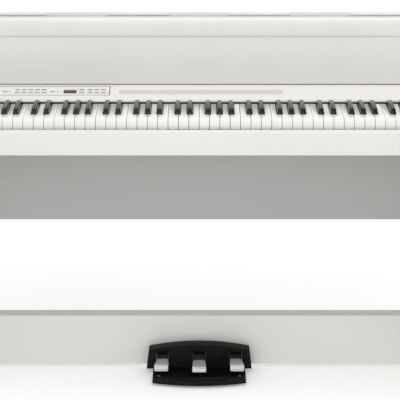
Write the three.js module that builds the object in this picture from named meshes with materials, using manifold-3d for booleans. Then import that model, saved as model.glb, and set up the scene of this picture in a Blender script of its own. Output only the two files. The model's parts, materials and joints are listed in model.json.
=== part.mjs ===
// Home digital piano on a panel stand: weighted keys, a fold-over lid, a speaker box and three pedals.
// Millimetres, +Z up, the player sits on the -Y side. The origin is on the floor under the piano's middle.
// The lid is modelled open, folded back on itself, which is how the piano is played.
import * as THREE from 'three';
import { mergeVertices } from 'three/addons/utils/BufferGeometryUtils.js';
import Module from 'manifold-3d';

const wasm = await Module();
wasm.setup();

// ---------------------------------------------------------------- driving dimensions
const WIDTH = 1355; // over the side panels
const DEPTH = 351;
const HEIGHT = 760; // floor to the top of the closed lid
const GAP = 0.3; // between pieces that touch
const OVERRUN = 1; // how far a cutting or joining shape runs past a face

const SIDE_THICKNESS = 20;
const SIDE_CORNER = 14; // radius of the side panels' upper front corner
const BOARD = 18; // lid, deck and key slip
const EDGE = 3; // radius on the boards' long edges
const BACK_THICKNESS = 12;

const FOOT_HEIGHT = 6;
const FOOT_RADIUS = 9;
const FOOT_INSET = 26; // from the side panel's front or rear edge

const KEY_PITCH = 23.5; // width of one white key, with its gap
const KEY_GAP = 1.1;
const WHITE_COUNT = 52;
const WHITE_LENGTH = 148; // as far as the felt strip
const WHITE_HEIGHT = 26;
const KEY_DROP = 48; // closed lid's top to the white keys' top
const KEY_CLEARANCE = 7.5; // key slip to the white keys' front
const BLACK_WIDTH = 13;
const BLACK_TOP_WIDTH = 9.6;
const BLACK_RISE = 12.4; // above the white keys
const BLACK_SETBACK = 42; // behind the white keys' front
const BLACK_LENGTH = 96;
const BLACK_SLOPE = 6; // how far the front leans back over its rise
const BLACK_CLEARANCE = 0.9; // to the white keys beside it
const BLACK_FRONT_CLEARANCE = 1.6; // its front swings forward as it goes down
const BLACK_REAR_SLOPE = 1; // how far the cap's rear leans in
const KEY_TRAVEL_ROOM = 11; // under the front of a white key
const WHITE_ARM_WIDTH = 8;
const BLACK_ARM_WIDTH = 7;
const ARM_HEIGHT = 12;
const ARM_DROP = 12; // white keys' top to their arms' top
const ARM_LAP = 40; // how far an arm runs forward under its key
const WHITE_TAIL = 8; // a white key's body ends this far behind the felt's front
const PIVOT_BEHIND = 66; // felt strip to the keys' pivot rod
const PIVOT_RADIUS = 3;
const SPINE_RISE = 7; // height of the spine that joins the still white keys
const SPINE_WIDTH = 6;
const SPINE_SPACING = 12; // white keys' spine to the black keys' spine
const SPINE_SETBACK = 3; // end of the moving arms to the first spine
const TAB_LAP = 4; // how far a tab runs into its arm

const KEYBED_THICKNESS = 17;
const SLIP_HEIGHT = 56.5;
const KEYBED_BELOW_LID = 128; // closed lid's top to the keybed's underside
const CHEEK_CLEARANCE = 1.5; // beside the outermost keys
const CHEEK_RISE = 14; // above the white keys
const CHASSIS_FLOOR = 5;
const CHASSIS_SETBACK = 2; // behind the white keys' front
const CHASSIS_RAIL = 26; // depth of the rail under the keys' front
const CHASSIS_PILLAR = 16; // depth of the wall that carries the pivot rod
const CHASSIS_RAIL_ROOM = 2; // a white key that is fully down stays this far above the rail
const CONTACT_BOARD = [40, 1.6]; // depth and thickness
const CONTACT_STRIP = 12; // depth of the rubber strip
const CONTACT_STRIP_ROOM = 10; // under the white keys
const CONTACT_INSET = 2; // from the keyboard's ends
const CONTACT_REAR = 3; // in front of the felt

const FELT_HEIGHT = 3.2;
const FELT_DEPTH = 5;
const PANEL_THICKNESS = 3;
const PANEL_WAIST = 1.5; // how far the nose's inside leans back by half its height
const PANEL_NOSE_RISE = 10.2; // from the panel's lower front edge to the top of its rounded nose
const PANEL_NOSE_DEPTH = 13;
const PANEL_SLOPE_RUN = 64; // front to back, on the sloping top
const PANEL_TILT = THREE.MathUtils.degToRad(13.2);
const PANEL_FLANGE = 19; // height of the panel's turned-down rear edge
const GROOVE_LENGTH = 389; // the ledge that sheet music stands in
const GROOVE_SHIFT = 4; // its middle, to the right of the piano's
const GROOVE_START = 12.3;
const GROOVE_WIDTH = 24;
const GROOVE_DEPTH = 2.2; // at its rear wall; its floor rises from there to the panel's surface

const BUTTON = [12, 6.2]; // cap size
const BUTTON_PROUD = 1.2;
const BUTTON_PITCH = 15.8;
const BUTTON_ROWS = [20.6, 35.6]; // up the panel's slope
const BUTTON_CLEARANCE = 0.4;
const FLANGE = 1.2; // thickness of the flange that keeps a part from coming out
const FLANGE_REACH = [1.6, 2.4]; // how much wider and longer than the cap a value button's flange is
const MOULDING_SHEET = 2; // thickness of the sheet that joins a group of caps
const MOULDING_MARGIN = [2, 6];
const SOUND_BUTTON_X = -429; // the leftmost of each row
const SOUND_COLUMNS = 5;
const FUNCTION_BUTTON_X = -257.6;
const FUNCTION_COLUMNS = 3;
const VALUE_BUTTON_X = -277;
const DISPLAY_X = -304.5;
const DISPLAY = [30, 19];
const POWER_X = -600;
const POWER_RADIUS = 6;
const POWER_PROUD = 1.8;
const VOLUME_X = -540;
const VOLUME_TRAVEL = 30;
const VOLUME_STEM = [6, 2.6];
const VOLUME_CAP = [9, 12, 5]; // width, length and height over the panel
const VOLUME_GRIP = [1.2, 14, 1]; // width, length and depth of the groove across the cap
const VOLUME_CARRIAGE = [12, 8];
const MAIN_BOARD_LENGTH = 38; // up the slope
const MAIN_BOARD_THICKNESS = 1.6;
const MAIN_BOARD_DROP = 6; // below the panel's inner surface
const MAIN_BOARD_MARGIN = [10, 14]; // beyond the power button and the last function button
const MAIN_BOARD_SHIFT = -4; // down the slope from the button rows' middle
const CHIP = 20;
const CHIP_HEIGHT = 1.5;
const CHIP_OFFSET = 60; // to the right of the display

const LID_SIDE_CLEARANCE = 1.5;
const LID_HEEL = 3; // radius under the rear half's pivot end
const LID_HEEL_ROOM = 3; // the heel swings through this much under the lid
const LID_LENGTH = 151; // pivot to the rear half's end
const LID_NOSE = 10; // radius under the rear half's free end
const LID_LIP = 53; // how far the lip hangs below the closed front
const FOLDED_RISE = 7; // the folded half stands this much above the other
const LEAF_GAP = 3; // between the two halves where the hinge leaves lie
const LEAF = 0.9;
const LEAF_WIDTH = 8;
const LEAF_INSET = 10; // from each end of the lid
const KNUCKLE_RADIUS = 2.4;
const KNUCKLE_ROOM = 0.4; // between the knuckles and the lid's end
const KNUCKLE_COUNT = 9;
const HINGE_PIN_RADIUS = 1;
const LID_PIN_RADIUS = 4;
const LID_PIN_LENGTH = 20;
const PIN_CLEARANCE = 0.3;
const BATTEN_START = 108; // up from the lid's pivot
const BATTEN_WIDTH = 32;
const BATTEN_THICKNESS = 2.7;
const BATTEN_INSET = 4; // from each end of the lid

const SPEAKER_BOX_BOTTOM = 412.5;
const SPEAKER_BOX_DEPTH = 101;
const SPEAKER_BOX_WALL = 9;
const SPEAKER_X = 330;
const SPEAKER_RADIUS = 50;
const SPEAKER_HOLE = 44;
const SPEAKER_DEPTH = 46;
const SPEAKER_CAP = [16, 12]; // the dust cap's radius, and how far its edge lies behind the rim
const SPEAKER_CAP_DISH = 2; // its middle lies this much deeper
const SPEAKER_SURROUND = 6; // width of the soft ring round the cone
const SPEAKER_BASKET = [6, 26]; // behind the box's front: start and end of the sloping basket
const SPEAKER_MAGNET = 30; // radius
const GRILLE_THICKNESS = 6;
const GRILLE_INSET = 4;

const INLET_RADIUS = 7; // socket for the power adaptor
const INLET_X = -210;
const INLET_Z = 700;
const INLET_BORE = 3;
const INLET_BORE_DEPTH = 10;
const INLET_PIN = 1; // radius of the centre pin, and how far it is set in from the end
const INLET_BODY = 6; // how far the socket's body stands inside the back panel

const PEDAL_BOARD_FRONT = 43.5; // back of the piano to the board's front
const PEDAL_BOARD_HEIGHT = 128;
const PEDAL_BOARD_LIFT = 12.5; // above the floor
const PEDAL_BOARD_THICKNESS = 15;
const PEDAL_SPACING = 94;
const PEDAL_LENGTHS = { outer: 47.3, middle: 54 }; // tip to the housing
const PEDAL_WIDTH = 35; // at the bend
const PEDAL_TIP_NARROWING = 1.5; // each side, from the bend to the tip
const PEDAL_BEND = 13; // tip to the widest place
const PEDAL_SLANT = [1, 6.5]; // how far a straight side and a slanted side lean in at the housing
const MIDDLE_SLANT = 3.2;
const PEDAL_CORNER = 5;
const PEDAL_TOPS = { outer: 38, middle: 34.5 }; // where the plate enters the housing
const PEDAL_FRONT_TOP = 33.5;
const PEDAL_LIP = [22, 6, 12, 26]; // lip's bottom, its depth, where it meets the underside, and how high
const PEDAL_LIP_RADIUS = 7;
const STEM_REACH = 8; // round the pivot
const STEM_BOTTOM = 28;
const STEM_START = 6; // the stem is full height this far behind the housing's front wall
const SLOT_ROOM = 2.5; // beside the stem
const SLOT_HEIGHTS = [20, 58];
const SPRING_FINGER = [5, 26]; // half width, and height of the tip
const SPRING_SHEET = 1;
const SPRING_REACH = [4, 7]; // in front of the pedals' axis and behind it
const ADJUSTER_RADIUS = 14;
const ADJUSTER_STEM = 4;
const ADJUSTER_SETBACK = 35; // in front of the housing
const PEDAL_PIVOT = [10, 39]; // in front of the pedal board, and above the floor
const PEDAL_SHAFT_RADIUS = 4;
const HOUSING_DEPTH = 34;
const HOUSING_TOP_WIDTH = 250;
const HOUSING_BOTTOM_WIDTH = 262;
const HOUSING_CORNER_HEIGHT = 61.5;
const HOUSING_PEAK_HEIGHT = 75;
const HOUSING_WALL = 4;
const BASE_LIFT = 6;
const BASE_THICKNESS = 6;
const BASE_WIDTH = 230;
const BASE_CORNER = 83; // housing's front to the base's front corners
const BASE_BULGE = 20; // how far the middle of its front edge stands in front of them

// ---------------------------------------------------------------- places worked out from them
const FRONT = -DEPTH / 2;
const REAR = DEPTH / 2;
const INSIDE = WIDTH / 2 - SIDE_THICKNESS; // centre line to a side panel's inner face
const FIT = INSIDE - GAP; // half the length of a board between the side panels

const KEY_TOP = HEIGHT - KEY_DROP;
const KEY_FRONT = FRONT + BOARD + KEY_CLEARANCE;
const FELT_Y = KEY_FRONT + WHITE_LENGTH;
const KEYBOARD = WHITE_COUNT * KEY_PITCH;
const KEYBOARD_LEFT = -KEYBOARD / 2;
const ARM_TOP = KEY_TOP - ARM_DROP;
const ARM_BOTTOM = ARM_TOP - ARM_HEIGHT;
const PIVOT_Y = FELT_Y + PIVOT_BEHIND;
const PIVOT_Z = ARM_BOTTOM - PIVOT_RADIUS - GAP;
const KEYBED_BOTTOM = HEIGHT - KEYBED_BELOW_LID;
const KEYBED_TOP = KEYBED_BOTTOM + KEYBED_THICKNESS;
const CHASSIS_BOTTOM = KEYBED_TOP + GAP;
const SLIP_BOTTOM = KEYBED_BOTTOM - GAP;

const FELT_BOTTOM = KEY_TOP + 2 * GAP;
const PANEL_BOTTOM = FELT_BOTTOM + FELT_HEIGHT + GAP;
const PANEL_Y = FELT_Y + PANEL_NOSE_DEPTH; // where the sloping top starts
const PANEL_Z = PANEL_BOTTOM + PANEL_NOSE_RISE;
const PANEL_REAR = PANEL_Y + PANEL_SLOPE_RUN;
const PANEL_REAR_Z = PANEL_Z + PANEL_SLOPE_RUN * Math.tan(PANEL_TILT);

const LID_HALF_WIDTH = INSIDE - LID_SIDE_CLEARANCE;
const LID_HOLE = LID_PIN_LENGTH / 2 - LID_SIDE_CLEARANCE / 2 + GAP; // depth of the holes for a lid pin
const LID_FRONT_Y = PANEL_REAR + GAP;
const LID_PIVOT = [LID_FRONT_Y + BOARD / 2, HEIGHT - BOARD / 2];
const LID_BACK_Y = LID_FRONT_Y + BOARD;
const FOLDED_Y = LID_BACK_Y + 2 * GAP; // front face of the half that is folded back
const FOLD_Y = LID_BACK_Y + GAP;
const LID_END = LID_PIVOT[1] + LID_LENGTH;
const FOLDED_END = LID_END + FOLDED_RISE;
const FOLD_Z = (LID_END + FOLDED_END + LEAF_GAP) / 2;
const LID_REACH = LID_PIVOT[0] - FRONT; // pivot to the closed lid's front
const FOLDED_BOTTOM = 2 * FOLD_Z - (LID_PIVOT[1] + LID_REACH);

const DECK_FRONT = LID_BACK_Y + GAP;
const DECK_BOTTOM = HEIGHT - BOARD;
const BACK_FRONT = REAR - BACK_THICKNESS;
const SPEAKER_BOX_FRONT = BACK_FRONT - GAP - SPEAKER_BOX_DEPTH;
const SPEAKER_BOX_TOP = KEYBED_BOTTOM - GAP;
const SPEAKER_Z = (SPEAKER_BOX_BOTTOM + SPEAKER_BOX_TOP) / 2;

const PEDAL_BOARD_Y = REAR - PEDAL_BOARD_FRONT;
const HOUSING_REAR = PEDAL_BOARD_Y - GAP;
const HOUSING_FRONT = HOUSING_REAR - HOUSING_DEPTH;
const PEDAL_AXIS = [PEDAL_BOARD_Y - PEDAL_PIVOT[0], PEDAL_PIVOT[1]];
const BASE_TOP = BASE_LIFT + BASE_THICKNESS;
/** The pedals, and which of their sides slants. */
const PEDAL_KINDS = [['soft_pedal', -1], ['sostenuto_pedal', 0], ['damper_pedal', 1]];
const ADJUSTER_Y = HOUSING_FRONT - ADJUSTER_SETBACK;

// ---------------------------------------------------------------- shapes and solids
/** An outline through corners [a, b, radius]; a corner with a radius is rounded to it. */
function outline(corners, steps = 4) {
  const count = corners.length;
  const at = (i) => new THREE.Vector2(corners[(i + count) % count][0], corners[(i + count) % count][1]);
  const points = [];
  corners.forEach((entry, i) => {
    const corner = at(i);
    const radius = entry[2] ?? 0;
    if (radius === 0) {
      points.push(corner);
      return;
    }
    const before = at(i - 1).sub(corner).normalize();
    const after = at(i + 1).sub(corner).normalize();
    const half = Math.acos(before.dot(after)) / 2;
    const centre = before.clone().add(after).normalize().multiplyScalar(radius / Math.sin(half)).add(corner);
    const start = before.multiplyScalar(radius / Math.tan(half)).add(corner).sub(centre);
    const end = after.multiplyScalar(radius / Math.tan(half)).add(corner).sub(centre);
    const turn = Math.atan2(start.cross(end), start.dot(end));
    for (let step = 0; step <= steps; step += 1) {
      points.push(start.clone().rotateAround(new THREE.Vector2(), (turn * step) / steps).add(centre));
    }
  });
  return new THREE.Shape(points);
}

function extrude(shape, length) {
  return new THREE.ExtrudeGeometry(shape, { depth: length, bevelEnabled: false });
}

/** A (Y, Z) outline carried along X. */
function alongX(shape, x0, x1) {
  const turn = new THREE.Matrix4().makeBasis(
    new THREE.Vector3(0, 1, 0),
    new THREE.Vector3(0, 0, 1),
    new THREE.Vector3(1, 0, 0),
  );
  return extrude(shape, x1 - x0).applyMatrix4(turn).translate(x0, 0, 0);
}

/** An (X, Z) outline carried along Y. */
function alongY(shape, y0, y1) {
  return extrude(shape, y1 - y0).rotateX(Math.PI / 2).translate(0, y1, 0);
}

/** An (X, Y) outline carried along Z. */
function alongZ(shape, z0, z1) {
  return extrude(shape, z1 - z0).translate(0, 0, z0);
}

function block([x0, x1], [y0, y1], [z0, z1]) {
  return new THREE.BoxGeometry(x1 - x0, y1 - y0, z1 - z0).translate(
    (x0 + x1) / 2,
    (y0 + y1) / 2,
    (z0 + z1) / 2,
  );
}

/** A block whose top rectangle differs from its bottom one. */
function taperedBlock(bottom, z0, top, z1) {
  const ring = ([[x0, x1], [y0, y1]], z) => [[x0, y0, z], [x1, y0, z], [x1, y1, z], [x0, y1, z]];
  const geometry = new THREE.BufferGeometry();
  const corners = [...ring(bottom, z0), ...ring(top, z1)].flat();
  geometry.setAttribute('position', new THREE.BufferAttribute(new Float32Array(corners), 3));
  geometry.setIndex([
    0, 2, 1, 0, 3, 2, 4, 5, 6, 4, 6, 7,
    0, 1, 5, 0, 5, 4, 1, 2, 6, 1, 6, 5, 2, 3, 7, 2, 7, 6, 3, 0, 4, 3, 4, 7,
  ]);
  return geometry;
}

/** A round bar along X, from x0 to x1, centred on (y, z). */
function rodX(radius, x0, x1, [y, z], sides = 16) {
  return new THREE.CylinderGeometry(radius, radius, x1 - x0, sides)
    .rotateZ(Math.PI / 2)
    .translate((x0 + x1) / 2, y, z);
}

/** A round bar along Z. */
function rodZ(radius, [x, y], z0, z1, sides = 20) {
  return new THREE.CylinderGeometry(radius, radius, z1 - z0, sides)
    .rotateX(Math.PI / 2)
    .translate(x, y, (z0 + z1) / 2);
}

/** A round bar along Y. */
function rodY(radius, [x, z], y0, y1, sides = 24) {
  return new THREE.CylinderGeometry(radius, radius, y1 - y0, sides).translate(x, (y0 + y1) / 2, z);
}

function toSolid(geometry) {
  const bare = new THREE.BufferGeometry();
  bare.setAttribute('position', geometry.getAttribute('position').clone());
  if (geometry.index) bare.setIndex(geometry.index.clone());
  const merged = mergeVertices(bare, 1e-4);
  return new wasm.Manifold(new wasm.Mesh({
    numProp: 3,
    vertProperties: Float32Array.from(merged.getAttribute('position').array),
    triVerts: Uint32Array.from(merged.index.array),
  }));
}

function toGeometry(solid) {
  const mesh = solid.getMesh();
  const geometry = new THREE.BufferGeometry();
  geometry.setAttribute('position', new THREE.BufferAttribute(mesh.vertProperties.slice(), 3));
  geometry.setIndex(new THREE.BufferAttribute(mesh.triVerts.slice(), 1));
  return geometry;
}

function join(...geometries) {
  return toGeometry(geometries.map(toSolid).reduce((whole, piece) => whole.add(piece)));
}

function cut(geometry, ...tools) {
  return toGeometry(tools.map(toSolid).reduce((whole, tool) => whole.subtract(tool), toSolid(geometry)));
}

function common(first, second) {
  return toGeometry(toSolid(first).intersect(toSolid(second)));
}

// ---------------------------------------------------------------- materials and assembly
const finish = (color, roughness, metalness = 0) => new THREE.MeshStandardMaterial({
  color, roughness, metalness, flatShading: true,
});
const PAINT = finish('#e4e3de', 0.45);
const PANEL_PLASTIC = finish('#eceae6', 0.5);
const WHITE_KEY = finish('#f4f2ec', 0.25);
const BLACK_KEY = finish('#1c1b1a', 0.45);
const FELT = finish('#5b1a1c', 0.95);
const GRILLE_CLOTH = finish('#ababa9', 0.95);
const BLACK_PLASTIC = finish('#191919', 0.5);
const BUTTON_PLASTIC = finish('#dad8d2', 0.5);
const STEEL = finish('#8d8f92', 0.35, 1);
const ENAMEL = finish('#e0dfda', 0.4);
const PEDAL_METAL = finish('#c4c4c2', 0.25, 1);
const SPRING_STEEL = finish('#6d7073', 0.4, 1);
const CIRCUIT = finish('#1f5a34', 0.6);
const WINDOW = finish('#3a0d0f', 0.15);
const CHASSIS_PLASTIC = finish('#55565a', 0.6);
const BOX_BOARD = finish('#3b3b3a', 0.8);
const RUBBER = finish('#2a2a2a', 0.9);

const piano = new THREE.Group();
const stand = new THREE.Group();
const casework = new THREE.Group();
const keyboard = new THREE.Group();
const controls = new THREE.Group(); // lies on the control panel's slope: X along it, Y up it, Z out of it
const lid = new THREE.Group();
const pedals = new THREE.Group();
piano.add(stand, casework, keyboard, controls, lid, pedals);
controls.position.set(0, PANEL_Y, PANEL_Z);
controls.rotation.x = PANEL_TILT;
controls.updateMatrixWorld(true);

function place(group, name, material, geometry) {
  const mesh = new THREE.Mesh(geometry, material);
  mesh.name = name;
  group.add(mesh);
  return mesh;
}

// ---------------------------------------------------------------- stand and case
function sidePanel(side) {
  const shape = outline([
    [FRONT, FOOT_HEIGHT, EDGE],
    [REAR, FOOT_HEIGHT, EDGE],
    [REAR, HEIGHT, EDGE],
    [FRONT, HEIGHT, SIDE_CORNER],
  ]);
  const [x0, x1] = side < 0 ? [-WIDTH / 2, -INSIDE] : [INSIDE, WIDTH / 2];
  const hole = side < 0 ? [-INSIDE - LID_HOLE, -INSIDE + OVERRUN] : [INSIDE - OVERRUN, INSIDE + LID_HOLE];
  return cut(alongX(shape, x0, x1), rodX(LID_PIN_RADIUS + PIN_CLEARANCE, ...hole, LID_PIVOT));
}

function pedalBoard() {
  const top = PEDAL_BOARD_LIFT + PEDAL_BOARD_HEIGHT;
  const rear = REAR - GAP;
  const shape = outline([
    [PEDAL_BOARD_Y, PEDAL_BOARD_LIFT, EDGE / 2],
    [PEDAL_BOARD_Y + PEDAL_BOARD_THICKNESS, PEDAL_BOARD_LIFT],
    [PEDAL_BOARD_Y + PEDAL_BOARD_THICKNESS, top - PEDAL_BOARD_THICKNESS],
    [rear, top - PEDAL_BOARD_THICKNESS],
    [rear, top, EDGE / 2],
    [PEDAL_BOARD_Y, top, EDGE / 2],
  ]);
  return alongX(shape, -FIT, FIT);
}

function keySlip() {
  const shape = outline([
    [FRONT, SLIP_BOTTOM, EDGE],
    [FRONT + BOARD, SLIP_BOTTOM],
    [FRONT + BOARD, SLIP_BOTTOM + SLIP_HEIGHT, EDGE],
    [FRONT, SLIP_BOTTOM + SLIP_HEIGHT, EDGE],
  ]);
  return alongX(shape, -FIT, FIT);
}

function rearDeck() {
  const ledge = DECK_BOTTOM - GAP - LID_HEEL_ROOM; // carries the panel's rear edge, under the lid's pivot
  const shape = outline([
    [LID_FRONT_Y, PANEL_REAR_Z - PANEL_FLANGE],
    [DECK_FRONT + BOARD, PANEL_REAR_Z - PANEL_FLANGE],
    [DECK_FRONT + BOARD, DECK_BOTTOM],
    [REAR, DECK_BOTTOM],
    [REAR, HEIGHT, EDGE],
    [DECK_FRONT, HEIGHT, EDGE / 2],
    [DECK_FRONT, ledge],
    [LID_FRONT_Y, ledge],
  ]);
  return alongX(shape, -FIT, FIT);
}

function backPanel() {
  const panel = block([-FIT, FIT], [BACK_FRONT, REAR], [SPEAKER_BOX_BOTTOM, DECK_BOTTOM - GAP]);
  return cut(panel, rodY(INLET_RADIUS + GAP, [INLET_X, INLET_Z], BACK_FRONT - OVERRUN, REAR + OVERRUN));
}

/** The panel's inner surface, front to back, sunk by an extra amount. */
function panelInside(extra) {
  const nose = PANEL_THICKNESS + extra;
  const drop = nose / Math.cos(PANEL_TILT);
  return [
    [FELT_Y + nose, PANEL_BOTTOM],
    [FELT_Y + nose + PANEL_WAIST, PANEL_BOTTOM + PANEL_NOSE_RISE / 2 - extra],
    [PANEL_Y, PANEL_Z - drop],
    [PANEL_REAR - nose, PANEL_REAR_Z - nose * Math.tan(PANEL_TILT) - drop],
  ];
}

function cheek(side) {
  const front = FRONT + BOARD + GAP;
  const top = KEY_TOP + CHEEK_RISE;
  const under = panelInside(GAP);
  const rear = PANEL_REAR - PANEL_THICKNESS - GAP;
  const shape = outline([
    [front, CHASSIS_BOTTOM],
    [rear, CHASSIS_BOTTOM],
    under[3],
    under[2],
    under[1],
    [under[0][0], PANEL_BOTTOM - GAP],
    [FELT_Y - GAP, PANEL_BOTTOM - GAP],
    [FELT_Y - GAP, top],
    [front, top, EDGE],
  ]);
  const inner = KEYBOARD / 2 + CHEEK_CLEARANCE;
  return side < 0 ? alongX(shape, -FIT, -inner) : alongX(shape, inner, FIT);
}

function speakerBox() {
  const rear = BACK_FRONT - GAP;
  const wall = SPEAKER_BOX_WALL;
  const body = block([-FIT, FIT], [SPEAKER_BOX_FRONT, rear], [SPEAKER_BOX_BOTTOM, SPEAKER_BOX_TOP]);
  const room = block(
    [-FIT + wall, FIT - wall],
    [SPEAKER_BOX_FRONT + wall, rear - wall],
    [SPEAKER_BOX_BOTTOM + wall, SPEAKER_BOX_TOP - wall],
  );
  const start = SPEAKER_BOX_FRONT - OVERRUN;
  const holes = [-SPEAKER_X, SPEAKER_X].flatMap((x) => [
    rodY(SPEAKER_HOLE + 2 * GAP, [x, SPEAKER_Z], start, SPEAKER_BOX_FRONT + wall + OVERRUN),
    rodY(SPEAKER_RADIUS + GAP, [x, SPEAKER_Z], start, SPEAKER_BOX_FRONT + wall / 2),
  ]);
  return cut(body, room, ...holes);
}

function speakerGrille() {
  const shape = outline([
    [-FIT + GRILLE_INSET, SPEAKER_BOX_BOTTOM, EDGE],
    [FIT - GRILLE_INSET, SPEAKER_BOX_BOTTOM, EDGE],
    [FIT - GRILLE_INSET, SPEAKER_BOX_TOP - GRILLE_INSET, EDGE],
    [-FIT + GRILLE_INSET, SPEAKER_BOX_TOP - GRILLE_INSET, EDGE],
  ]);
  return alongY(shape, SPEAKER_BOX_FRONT - GAP - GRILLE_THICKNESS, SPEAKER_BOX_FRONT - GAP);
}

/** A loudspeaker as turned about its axis: rim, cone, basket and magnet. It faces -Y. */
function loudspeaker() {
  const rim = SPEAKER_BOX_WALL / 2 - 2 * GAP;
  const [capRadius, capDepth] = SPEAKER_CAP;
  const profile = [
    [0, capDepth + SPEAKER_CAP_DISH],
    [capRadius, capDepth],
    [SPEAKER_HOLE - SPEAKER_SURROUND, 1],
    [SPEAKER_RADIUS, 0],
    [SPEAKER_RADIUS, rim],
    [SPEAKER_HOLE, rim],
    [SPEAKER_HOLE, rim + SPEAKER_BASKET[0]],
    [SPEAKER_MAGNET, SPEAKER_BASKET[1]],
    [SPEAKER_MAGNET, SPEAKER_DEPTH],
    [0, SPEAKER_DEPTH],
  ].map(([radius, depth]) => new THREE.Vector2(radius, depth));
  return new THREE.LatheGeometry(profile, 24);
}

/** The socket for the power adaptor: a sleeve with a centre pin, open to the rear. */
function dcInlet() {
  const at = [INLET_X, INLET_Z];
  const sleeve = rodY(INLET_RADIUS, at, BACK_FRONT - INLET_BODY, REAR);
  const hole = rodY(INLET_BORE, at, REAR - INLET_BORE_DEPTH, REAR + OVERRUN, 12);
  const pin = rodY(INLET_PIN, at, REAR - INLET_BORE_DEPTH - OVERRUN, REAR - INLET_PIN, 8);
  return join(cut(sleeve, hole), pin);
}

for (const [name, side] of [['left', -1], ['right', 1]]) {
  place(stand, `side_panel_${name}`, PAINT, sidePanel(side));
  for (const [end, y] of [['front', FRONT + FOOT_INSET], ['rear', REAR - FOOT_INSET]]) {
    const at = [side * (WIDTH / 2 - SIDE_THICKNESS / 2), y];
    place(stand, `foot_${end}_${name}`, RUBBER, rodZ(FOOT_RADIUS, at, 0, FOOT_HEIGHT - GAP));
  }
  place(casework, `cheek_block_${name}`, PAINT, cheek(side));
  const speaker = place(casework, `speaker_${name}`, BLACK_PLASTIC, loudspeaker());
  speaker.position.set(side * SPEAKER_X, SPEAKER_BOX_FRONT + GAP, SPEAKER_Z);
}
place(stand, 'pedal_board', PAINT, pedalBoard());
const KEYBED_Y = [FRONT + BOARD + GAP, BACK_FRONT - GAP];
place(casework, 'keybed', PAINT, block([-FIT, FIT], KEYBED_Y, [KEYBED_BOTTOM, KEYBED_TOP]));
place(casework, 'key_slip', PAINT, keySlip());
place(casework, 'rear_deck', PAINT, rearDeck());
place(casework, 'back_panel', PAINT, backPanel());
place(casework, 'speaker_box', BOX_BOARD, speakerBox());
place(casework, 'speaker_grille', GRILLE_CLOTH, speakerGrille());
place(casework, 'dc_inlet', BLACK_PLASTIC, dcInlet());

// ---------------------------------------------------------------- keyboard
const LEFT_GROUP = 3 * KEY_PITCH; // C, D, E share this width, and F, G, A, B share the rest
const RIGHT_GROUP = 4 * KEY_PITCH;

/** Middle of each black key from the left edge of its C: the keys' rear ends share the width evenly. */
const BLACK_CENTRES = {
  c_sharp: (LEFT_GROUP / 5) * 1.5,
  d_sharp: (LEFT_GROUP / 5) * 3.5,
  f_sharp: LEFT_GROUP + (RIGHT_GROUP / 7) * 1.5,
  g_sharp: LEFT_GROUP + (RIGHT_GROUP / 7) * 3.5,
  a_sharp: LEFT_GROUP + (RIGHT_GROUP / 7) * 5.5,
};
const WHITE_NAMES = ['c', 'd', 'e', 'f', 'g', 'a', 'b'];
const MOVING_OCTAVE = 4;
const FIRST_C = 2; // the lowest C is the third white key, after A and B
const LAST_OCTAVE = 8; // of which there is only the C

const octaveLeft = (octave) => KEYBOARD_LEFT + (FIRST_C + 7 * (octave - 1)) * KEY_PITCH;
const BLACK_FRONT = KEY_FRONT + BLACK_SETBACK;
const BLACK_REAR = BLACK_FRONT + BLACK_LENGTH;
const NOTCH_HALF = BLACK_WIDTH / 2 + BLACK_CLEARANCE;
const ARM_REAR = PIVOT_Y + 2 * PIVOT_RADIUS;

/** The black keys beside a white key, as their middles; the outermost keys have one side only. */
function neighbours(octave, index) {
  const left = octaveLeft(octave) + index * KEY_PITCH;
  const middles = Object.values(BLACK_CENTRES).map((x) => octaveLeft(octave) + x);
  const beside = middles.filter((x) => x + NOTCH_HALF > left && x - NOTCH_HALF < left + KEY_PITCH);
  const exists = (x) => x > KEYBOARD_LEFT + KEY_PITCH / 2 && x < -KEYBOARD_LEFT - KEY_PITCH / 2;
  return beside.filter(exists);
}

function whiteKey(octave, index) {
  const left = octaveLeft(octave) + index * KEY_PITCH + KEY_GAP / 2;
  const right = left + KEY_PITCH - KEY_GAP;
  const beside = neighbours(octave, index);
  const centre = (left + right) / 2;
  const onLeft = beside.filter((x) => x < centre).map((x) => x + NOTCH_HALF);
  const onRight = beside.filter((x) => x > centre).map((x) => x - NOTCH_HALF);
  const tailLeft = Math.max(left, ...onLeft);
  const tailRight = Math.min(right, ...onRight);
  const notch = BLACK_FRONT - BLACK_FRONT_CLEARANCE;
  const tail = FELT_Y + WHITE_TAIL;
  const points = [
    [left, KEY_FRONT],
    [right, KEY_FRONT],
    [right, notch],
    [tailRight, notch],
    [tailRight, tail],
    [tailLeft, tail],
    [tailLeft, notch],
    [left, notch],
  ];
  const distinct = points.filter(([x, y], i) => {
    const [px, py] = points[(i + points.length - 1) % points.length];
    return Math.hypot(x - px, y - py) > GAP;
  });
  const head = alongZ(outline(distinct), KEY_TOP - WHITE_HEIGHT, KEY_TOP);
  const middle = (tailLeft + tailRight) / 2;
  const arm = block(
    [middle - WHITE_ARM_WIDTH / 2, middle + WHITE_ARM_WIDTH / 2],
    [tail - ARM_LAP, ARM_REAR],
    [ARM_BOTTOM, ARM_TOP],
  );
  return { middle, solid: join(head, arm) };
}

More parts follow.
